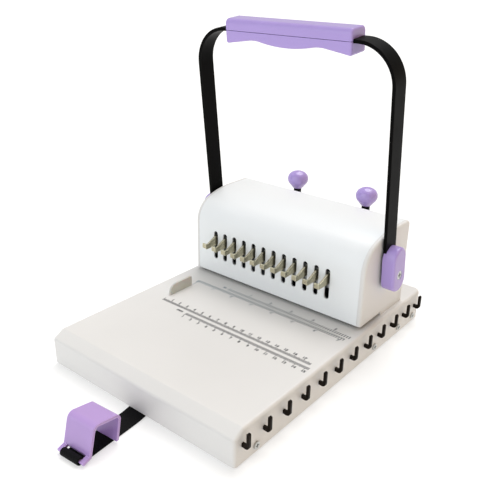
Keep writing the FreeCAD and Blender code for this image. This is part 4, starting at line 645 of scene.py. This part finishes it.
def near_ruler(settings):
    """Two millimetre scales back to back in front of the paper, with their numbers outside them.

    The strokes are thicker than on a real ruler, where they would not show.
    """
    build = bmesh.new()
    stroke, film, figure = settings.stroke, settings.film, settings.figure
    centimetre = 10 * settings.division
    start, length, line = STOP_HIGH.x + 0.2 * MM, 178 * MM, 109.0 * MM
    add_scale(build, stroke, film, start, start + length, line, settings.division,
              (5.0 * MM, 3.9 * MM, 3.3 * MM))
    figure_shift, figure_line = 1 * MM, 115.2 * MM
    for number in range(1, settings.upper_count + 1):
        add_text(build, number, figure, start + number * centimetre - figure_shift, figure_line, settings)
    origin, skipped, length, line = -49 * MM, 8 * MM, 151 * MM, 105.5 * MM
    add_scale(build, stroke, film, origin + skipped, origin + length, line, settings.division,
              (-5.0 * MM, -3.9 * MM, -3.4 * MM))
    figure_shift, figure_line = 0.8 * MM, 98.3 * MM
    for number in range(1, settings.lower_count + 1):
        add_text(build, number, figure, origin + number * centimetre - figure_shift, figure_line, settings)
    unit_place = (-49.6 * MM, 104.8 * MM)
    add_text(build, "mm", figure * UNIT_SHARE, *unit_place, settings)
    return to_mesh("near_ruler", build)


def far_ruler(settings):
    """A line back from the paper stop and along the hood, with an inch scale on each side of it.

    Sixteenths of an inch would run together at this distance, so tenths are drawn.
    """
    build = bmesh.new()
    stroke, film, figure = settings.far_stroke, settings.film, settings.figure
    half = settings.stroke / 2
    left, right, line = STOP_HIGH.x, 100 * MM, 164.6 * MM
    stop_back = STOP_HIGH.y - FRONT + 1 * MM
    add_mark(build, left - half, left + half, stop_back, line, film)
    add_mark(build, left, right, line - half, line + half, film)
    step = INCH / 10
    start, upper_line = -42.4 * MM, 166.9 * MM
    add_scale(build, stroke, film, start, start + 5.7 * INCH, upper_line, step,
              (5.4 * MM, 4.8 * MM, 4.2 * MM))
    add_scale(build, stroke, film, start - 1.5 * INCH, start + 5.6 * INCH, line, step,
              (-4.8 * MM, -4.2 * MM, -3.6 * MM))
    upper_numbers, upper_figures = range(1, 6), 174 * MM
    for number in upper_numbers:
        add_text(build, number, figure, start + number * INCH, upper_figures, settings)
    lower_numbers, lower_figures, lower_origin = range(1, 8), 158.6 * MM, -81.6 * MM
    for number in lower_numbers:
        add_text(build, number, figure, lower_origin + number * INCH, lower_figures, settings)
    unit_place = (-48.5 * MM, 170 * MM)
    add_text(build, "in", figure * UNIT_SHARE, *unit_place, settings)
    return to_mesh("far_ruler", build)


# Strap


STRAP_TURN = math.radians(4.0)
STRAP_WIDTH = 20.0 * MM
STRAP_WALL = 1.3 * MM
LAYER = 1.4 * MM
HAIR_GAP = 0.1 * MM
TUCK = 23.5 * MM
EDGE = 1 * MM
DIP = 8 * MM
REACH = 69.0 * MM
LOOP = 3.6 * MM
LOOP_END = math.radians(15.0)
LOOP_STEPS = 24
TAIL = 11.5 * MM
ROW_PITCH = 0.33 * MM
EASING_ROWS = 3
COLUMNS = 50
WOVEN_EDGE = 1.2 * MM
ANCHOR_LOW, ANCHOR_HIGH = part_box("strap_anchor")
ANCHOR_BEHIND = (ANCHOR_LOW.y + ANCHOR_HIGH.y - 2 * FRONT) / 2
STRAP_MIDDLE = (ANCHOR_LOW.x + ANCHOR_HIGH.x) / 2 + math.sin(STRAP_TURN) * ANCHOR_BEHIND


def strap_corners():
    """Corners of the webbing's middle line: out from under the base, round the loop and back.

    Each is a distance ahead of the base and a height.
    """
    ride = LOOP - LAYER / 2
    under = BASE_LOW - HAIR_GAP - LAYER / 2
    corners = [(-TUCK, under), (-EDGE, under), (DIP, LAYER / 2), (REACH, LAYER / 2)]
    for step in range(1, LOOP_STEPS + 1):
        angle = -math.pi / 2 + (1.5 * math.pi - LOOP_END) * step / LOOP_STEPS
        corners.append((REACH + ride * math.cos(angle), LOOP + ride * math.sin(angle)))
    away, height = corners[-1]
    lap = 1.5 * LAYER
    land = away - (height - lap) * math.tan(LOOP_END)
    return corners + [(land, lap), (land - TAIL, lap)], land


def strap_line():
    """Middle line of the webbing in close even steps with its corners eased, and where the lap lands."""
    corners, land = strap_corners()
    line = []
    for (start, low), (end, high) in zip(corners, corners[1:]):
        count = max(1, round(math.hypot(end - start, high - low) / ROW_PITCH))
        line += [(start + (end - start) * k / count, low + (high - low) * k / count)
                 for k in range(count)]
    line.append(corners[-1])
    eased = []
    for k in range(len(line)):
        reach = min(EASING_ROWS, k, len(line) - 1 - k)
        near = line[k - reach:k + reach + 1]
        eased.append((sum(p[0] for p in near) / len(near), sum(p[1] for p in near) / len(near)))
    return eased, land


def strap_frame():
    """Turns the strap's own across, ahead and up into places of the machine."""
    return (Matrix.Translation((STRAP_MIDDLE, FRONT, 0.0))
            @ Matrix.Rotation(STRAP_TURN, 4, "Z") @ Matrix.Scale(-1, 4, (0, 1, 0)))


def woven_row(build, place, settings, spot, out, run):
    """Points round the webbing at one spot of its line, over its face and back under it."""
    half = STRAP_WIDTH / 2
    row = []
    for side in (1, -1):
        for column in range(COLUMNS):
            share = column / COLUMNS
            across = side * half * (2 * share - 1)
            past = max(0.0, abs(across) - (half - WOVEN_EDGE)) / WOVEN_EDGE
            weave = math.cos(math.pi * run / settings.yarn) * math.cos(math.pi * across / settings.yarn)
            crest = settings.crest * (0.5 - 0.5 * side * weave)
            off = out * (side * ((STRAP_WALL / 2 - crest) * math.sqrt(1 - past ** 2)))
            point = Vector((across, spot[0] + off.x, spot[1] + off.y))
            row.append(build.verts.new(place @ point))
    return row


def close_end(build, row):
    """Closes an end of the webbing with faces between its face and its back."""
    build.faces.new([row[0], row[1], row[-1]])
    for k in range(2, COLUMNS):
        build.faces.new([row[k - 1], row[k], row[-k], row[1 - k]])
    build.faces.new([row[COLUMNS - 1], row[COLUMNS], row[COLUMNS + 1]])


def webbing(settings):
    """Plain woven webbing: yarns that crest in turn across and along, with rounded woven edges."""
    line, land = strap_line()
    build = bmesh.new()
    place = strap_frame()
    run = 0.0
    rows = []
    for k, spot in enumerate(line):
        before, after = line[max(k - 1, 0)], line[min(k + 1, len(line) - 1)]
        run += math.hypot(spot[0] - before[0], spot[1] - before[1])
        along = Vector((after[0] - before[0], after[1] - before[1])).normalized()
        rows.append(woven_row(build, place, settings, spot, Vector((-along.y, along.x)), run))
    count = 2 * COLUMNS
    for first, second in zip(rows, rows[1:]):
        for k in range(count):
            after = (k + 1) % count
            build.faces.new((first[k], first[after], second[after], second[k]))
    close_end(build, rows[0])
    close_end(build, rows[-1])
    add_seam(build, settings, place, land)
    mesh = to_mesh("hold_down_webbing", build)
    for face in mesh.polygons:
        face.use_smooth = True
    return mesh


def add_seam(build, settings, place, land):
    """Adds the sewn box on the lap: stitches along its four sides and one row across its middle."""
    side_inset, end_inset, sunk = 3 * MM, 2 * MM, 0.12 * MM
    stitch_wide, stitch_high, pitch_share = 0.3 * MM, 0.26 * MM, 1.3
    wide = STRAP_WIDTH / 2 - side_inset
    near, far = land - TAIL + end_inset, land - end_inset
    middle = (near + far) / 2
    top = 2 * LAYER - sunk
    shape = Matrix.Diagonal((settings.stitch / 2, stitch_wide, stitch_high, 1.0))
    rows = [
        (-wide, near, wide, near), (-wide, far, wide, far), (-wide, near, -wide, far),
        (wide, near, wide, far), (-wide, middle, wide, middle),
    ]
    for x, y, end_x, end_y in rows:
        length = math.hypot(end_x - x, end_y - y)
        count = max(1, int(length / (settings.stitch * pitch_share)))
        turn = Matrix.Rotation(math.atan2(end_y - y, end_x - x), 4, "Z")
        for k in range(count):
            share = (k + 0.5) / count
            spot = Matrix.Translation((x + (end_x - x) * share, y + (end_y - y) * share, top))
            made = bmesh.ops.create_uvsphere(build, u_segments=10, v_segments=8, radius=1.0,
                                             matrix=place @ spot @ turn @ shape)
            for face in {face for vert in made["verts"] for face in vert.link_faces}:
                face.material_index = 1


# Buttons


class BINDER_OT_case(Operator):
    """Finish the moulded shells, the coated hood and the paper stop"""

    bl_idname = "binder.case"
    bl_label = "Case and Hood"

    def execute(self, context):
        settings = context.scene.binder_case
        finish_nodes(shell_finish(settings), nodes_of("white_case"))
        finish_nodes(hood_finish(settings), nodes_of("white_hood"))
        finish_nodes(stop_finish(settings), nodes_of("stop_plastic"))
        return {"FINISHED"}


class BINDER_OT_rulers(Operator):
    """Print the rulers on the deck"""

    bl_idname = "binder.rulers"
    bl_label = "Rulers"

    def execute(self, context):
        settings = context.scene.binder_print
        near_ink = ink_finish("Near_Ruler_Pad_Ink", settings.ink, settings.ink)
        far_ink = ink_finish("Far_Ruler_Pad_Ink", settings.ink, settings.pale_ink)
        add_piece("near_ruler", near_ruler(settings), "machine", [near_ink])
        add_piece("far_ruler", far_ruler(settings), "machine", [far_ink])
        return {"FINISHED"}


class BINDER_OT_handle(Operator):
    """Finish the handle, its grip, the hub caps, the knobs and the clip"""

    bl_idname = "binder.handle"
    bl_label = "Handle"

    def execute(self, context):
        settings = context.scene.binder_handle
        enamel = enamel_finish("Handle_Baked_Enamel", settings.bar, settings.bare, settings.edge,
                               gloss=0.36)
        finish_nodes(enamel, nodes_of("handle_enamel"))
        plastic = lavender_finish("Lavender_Polished_ABS", settings.plastic, settings.edge)
        finish_nodes(plastic, nodes_of("lilac_plastic"))
        finish_nodes(lavender_finish("Clip_Polished_ABS", settings.clip, settings.edge), ["grip_clip"])
        return {"FINISHED"}


class BINDER_OT_metal(Operator):
    """Finish the fingers, hooks, levers and screws"""

    bl_idname = "binder.metal"
    bl_label = "Fingers, Hooks and Levers"

    def execute(self, context):
        settings = context.scene.binder_metal
        finish_nodes(nickel_finish(settings), nodes_of("finger_nickel"))
        finish_nodes(oxide_finish(settings), nodes_of("hook_finish"))
        enamel = enamel_finish("Lever_Black_Enamel", settings.lever, settings.worn, settings.edge,
                               gloss=0.4)
        finish_nodes(enamel, nodes_of("lever_finish"))
        zinc = steel_finish("Screw_Bright_Zinc", settings.zinc, line=0.6 * MM, rough=0.25, along="Z")
        finish_nodes(zinc, nodes_of("screw_steel"))
        return {"FINISHED"}


class BINDER_OT_works(Operator):
    """Finish the steel inside and behind the housing"""

    bl_idname = "binder.works"
    bl_label = "Punching Works"

    def execute(self, context):
        settings = context.scene.binder_metal
        plate = steel_finish("Plate_Rolled_Mild_Steel", settings.steel, line=0.8 * MM, rough=0.38,
                             along="X")
        ground = steel_finish("Works_Ground_Tool_Steel", settings.tool, line=0.5 * MM, rough=0.28,
                              along="X")
        finish_nodes(plate, nodes_of("mild_steel"))
        finish_nodes(ground, nodes_of("tool_steel"))
        stretch_springs(ground)
        finish_nodes(bronze_finish(settings), nodes_of("bush_bronze"))
        return {"FINISHED"}


class BINDER_OT_strap(Operator):
    """Weave the hold-down strap and sew its loop"""

    bl_idname = "binder.strap"
    bl_label = "Strap"

    def execute(self, context):
        settings = context.scene.binder_soft
        yarn, thread = webbing_finish(settings), thread_finish(settings)
        finish_nodes(yarn, nodes_of("strap_webbing"))
        add_piece("hold_down_webbing", webbing(settings), "machine", [yarn, thread],
                  replaces=["hold_down_strap"])
        return {"FINISHED"}


class BINDER_OT_feet(Operator):
    """Finish the rubber feet and the chip tray"""

    bl_idname = "binder.feet"
    bl_label = "Feet and Tray"

    def execute(self, context):
        settings = context.scene.binder_soft
        finish_nodes(rubber_finish(settings), nodes_of("foot_rubber"))
        finish_nodes(tray_finish(settings), nodes_of("tray_plastic"))
        return {"FINISHED"}


# Studio


CAMERA_TURN = math.radians(38.66)
CAMERA_DROP = math.radians(23.84)
CAMERA_ROLL = math.radians(1.10)
CAMERA_PLACE = (0.34473, FRONT - 0.28127, 0.34130)
SENSOR_WIDTH = 36.0
KEY_WAY = (0.1, -0.45, -1.0)
KEY_SPREAD = 40
FILL_WAY = (0.15, 0.92, -0.38)
FILL_SPREAD = 60
HORIZON_HEIGHT = 0.15
HORIZON_LIGHT = 1.15


def add_camera(settings):
    """Adds the camera at the photograph's place, height and slight roll."""
    turn, drop, roll = CAMERA_TURN, CAMERA_DROP, CAMERA_ROLL
    ahead = Vector((-math.sin(turn) * math.cos(drop), math.cos(turn) * math.cos(drop), -math.sin(drop)))
    side = Vector((math.cos(turn), math.sin(turn), 0.0))
    above = side.cross(ahead)
    across = side * math.cos(roll) + above * math.sin(roll)
    upright = above * math.cos(roll) - side * math.sin(roll)
    data = bpy.data.cameras.new("Camera")
    data.lens = settings.lens
    data.sensor_width = SENSOR_WIDTH
    camera = bpy.data.objects.new("Camera", data)
    bpy.context.scene.collection.objects.link(camera)
    camera.matrix_world = (
        Matrix.Translation(CAMERA_PLACE)
        @ Matrix((across, upright, -ahead)).transposed().to_4x4()
    )
    bpy.context.scene.camera = camera


def add_room(settings):
    """A white room round the table, warmer on the right and cooler in front, plain white to the eye."""
    world = bpy.data.worlds.new("Studio")
    world.use_nodes = True
    tree = world.node_tree
    tree.nodes.clear()
    way = add_node(tree, "ShaderNodeTexCoord", output="Generated")
    right = add_node(tree, "ShaderNodeSeparateXYZ", {0: way}, "X")
    back = add_node(tree, "ShaderNodeSeparateXYZ", {0: way}, "Y")
    warm = add_node(tree, "ShaderNodeMapRange", {"Value": right, "From Min": 0.2, "From Max": 0.9})
    cool = add_node(tree, "ShaderNodeMapRange", {"Value": back, "From Min": 0.0, "From Max": -0.8})
    sky = add_node(tree, "ShaderNodeMix", {
        0: warm, 6: rgba(settings.above), 7: rgba(settings.warm),
    }, 2, data_type="RGBA")
    colour = add_node(tree, "ShaderNodeMix", {
        0: cool, 6: sky, 7: rgba(settings.cool),
    }, 2, data_type="RGBA")
    up = add_node(tree, "ShaderNodeSeparateXYZ", {0: way}, "Z")
    horizon = add_node(tree, "ShaderNodeMapRange", {
        "Value": up, "From Min": HORIZON_HEIGHT, "From Max": 0.0,
        "To Min": settings.sky, "To Max": HORIZON_LIGHT,
    })
    light = add_node(tree, "ShaderNodeBackground", {"Color": colour, "Strength": horizon})
    plain = add_node(tree, "ShaderNodeBackground", {"Color": rgba(settings.above), "Strength": 1.0})
    seen = add_node(tree, "ShaderNodeLightPath", output="Is Camera Ray")
    surface = add_node(tree, "ShaderNodeMixShader", {0: seen, 1: light, 2: plain})
    add_node(tree, "ShaderNodeOutputWorld", {"Surface": surface})
    bpy.context.scene.world = world


def add_sun(name, way, strength, spread):
    """Adds a wide soft light that shines along a direction."""
    sun = bpy.data.lights.new(name, "SUN")
    sun.energy = strength
    sun.angle = math.radians(spread)
    holder = bpy.data.objects.new(name, sun)
    bpy.context.scene.collection.objects.link(holder)
    holder.rotation_euler = Vector(way).to_track_quat("-Z", "Y").to_euler()


class BINDER_OT_stage(Operator):
    """Lay out the table top, the lights and the camera"""

    bl_idname = "binder.stage"
    bl_label = "Studio"

    def execute(self, context):
        settings = context.scene.binder_studio
        scene = context.scene
        scene.view_settings.view_transform = "Standard"
        build = bmesh.new()
        bmesh.ops.create_grid(build, x_segments=4, y_segments=4, size=settings.floor_side / 2)
        floor = bpy.data.objects.new("studio_floor", to_mesh("studio_floor", build))
        floor.data.materials.append(floor_finish(settings))
        scene.collection.objects.link(floor)
        add_room(settings)
        add_sun("Overhead_Key", KEY_WAY, settings.key, KEY_SPREAD)
        add_sun("Front_Fill", FILL_WAY, settings.fill, FILL_SPREAD)
        add_camera(settings)
        return {"FINISHED"}


OPERATORS = (
    BINDER_OT_stage, BINDER_OT_case, BINDER_OT_rulers, BINDER_OT_handle, BINDER_OT_metal,
    BINDER_OT_works, BINDER_OT_strap, BINDER_OT_feet,
)
SETTINGS = {
    "binder_case": CaseSettings,
    "binder_print": PrintSettings,
    "binder_handle": HandleSettings,
    "binder_metal": MetalSettings,
    "binder_soft": SoftSettings,
    "binder_studio": StudioSettings,
}


class BINDER_PT_panel(Panel):
    """Lists the settings and the buttons that make each group of pieces"""

    bl_idname = "BINDER_PT_panel"
    bl_label = "Wire Binding Machine"
    bl_space_type = "VIEW_3D"
    bl_region_type = "UI"
    bl_category = "Binding Machine"

    def draw(self, context):
        for holder, group in SETTINGS.items():
            box = self.layout.box()
            box.label(text=group.__doc__)
            for name in group.__annotations__:
                box.prop(getattr(context.scene, holder), name)
        for operator in OPERATORS:
            self.layout.operator(operator.bl_idname)


CLASSES = (*SETTINGS.values(), *OPERATORS, BINDER_PT_panel)


def register():
    for item in CLASSES:
        bpy.utils.register_class(item)
    for holder, group in SETTINGS.items():
        setattr(bpy.types.Scene, holder, PointerProperty(type=group))


def unregister():
    for holder in SETTINGS:
        delattr(bpy.types.Scene, holder)
    for item in reversed(CLASSES):
        bpy.utils.unregister_class(item)


def main():
    register()
    for operator in OPERATORS:
        group, name = operator.bl_idname.split(".")
        getattr(getattr(bpy.ops, group), name)()


if __name__ == "__main__":
    main()
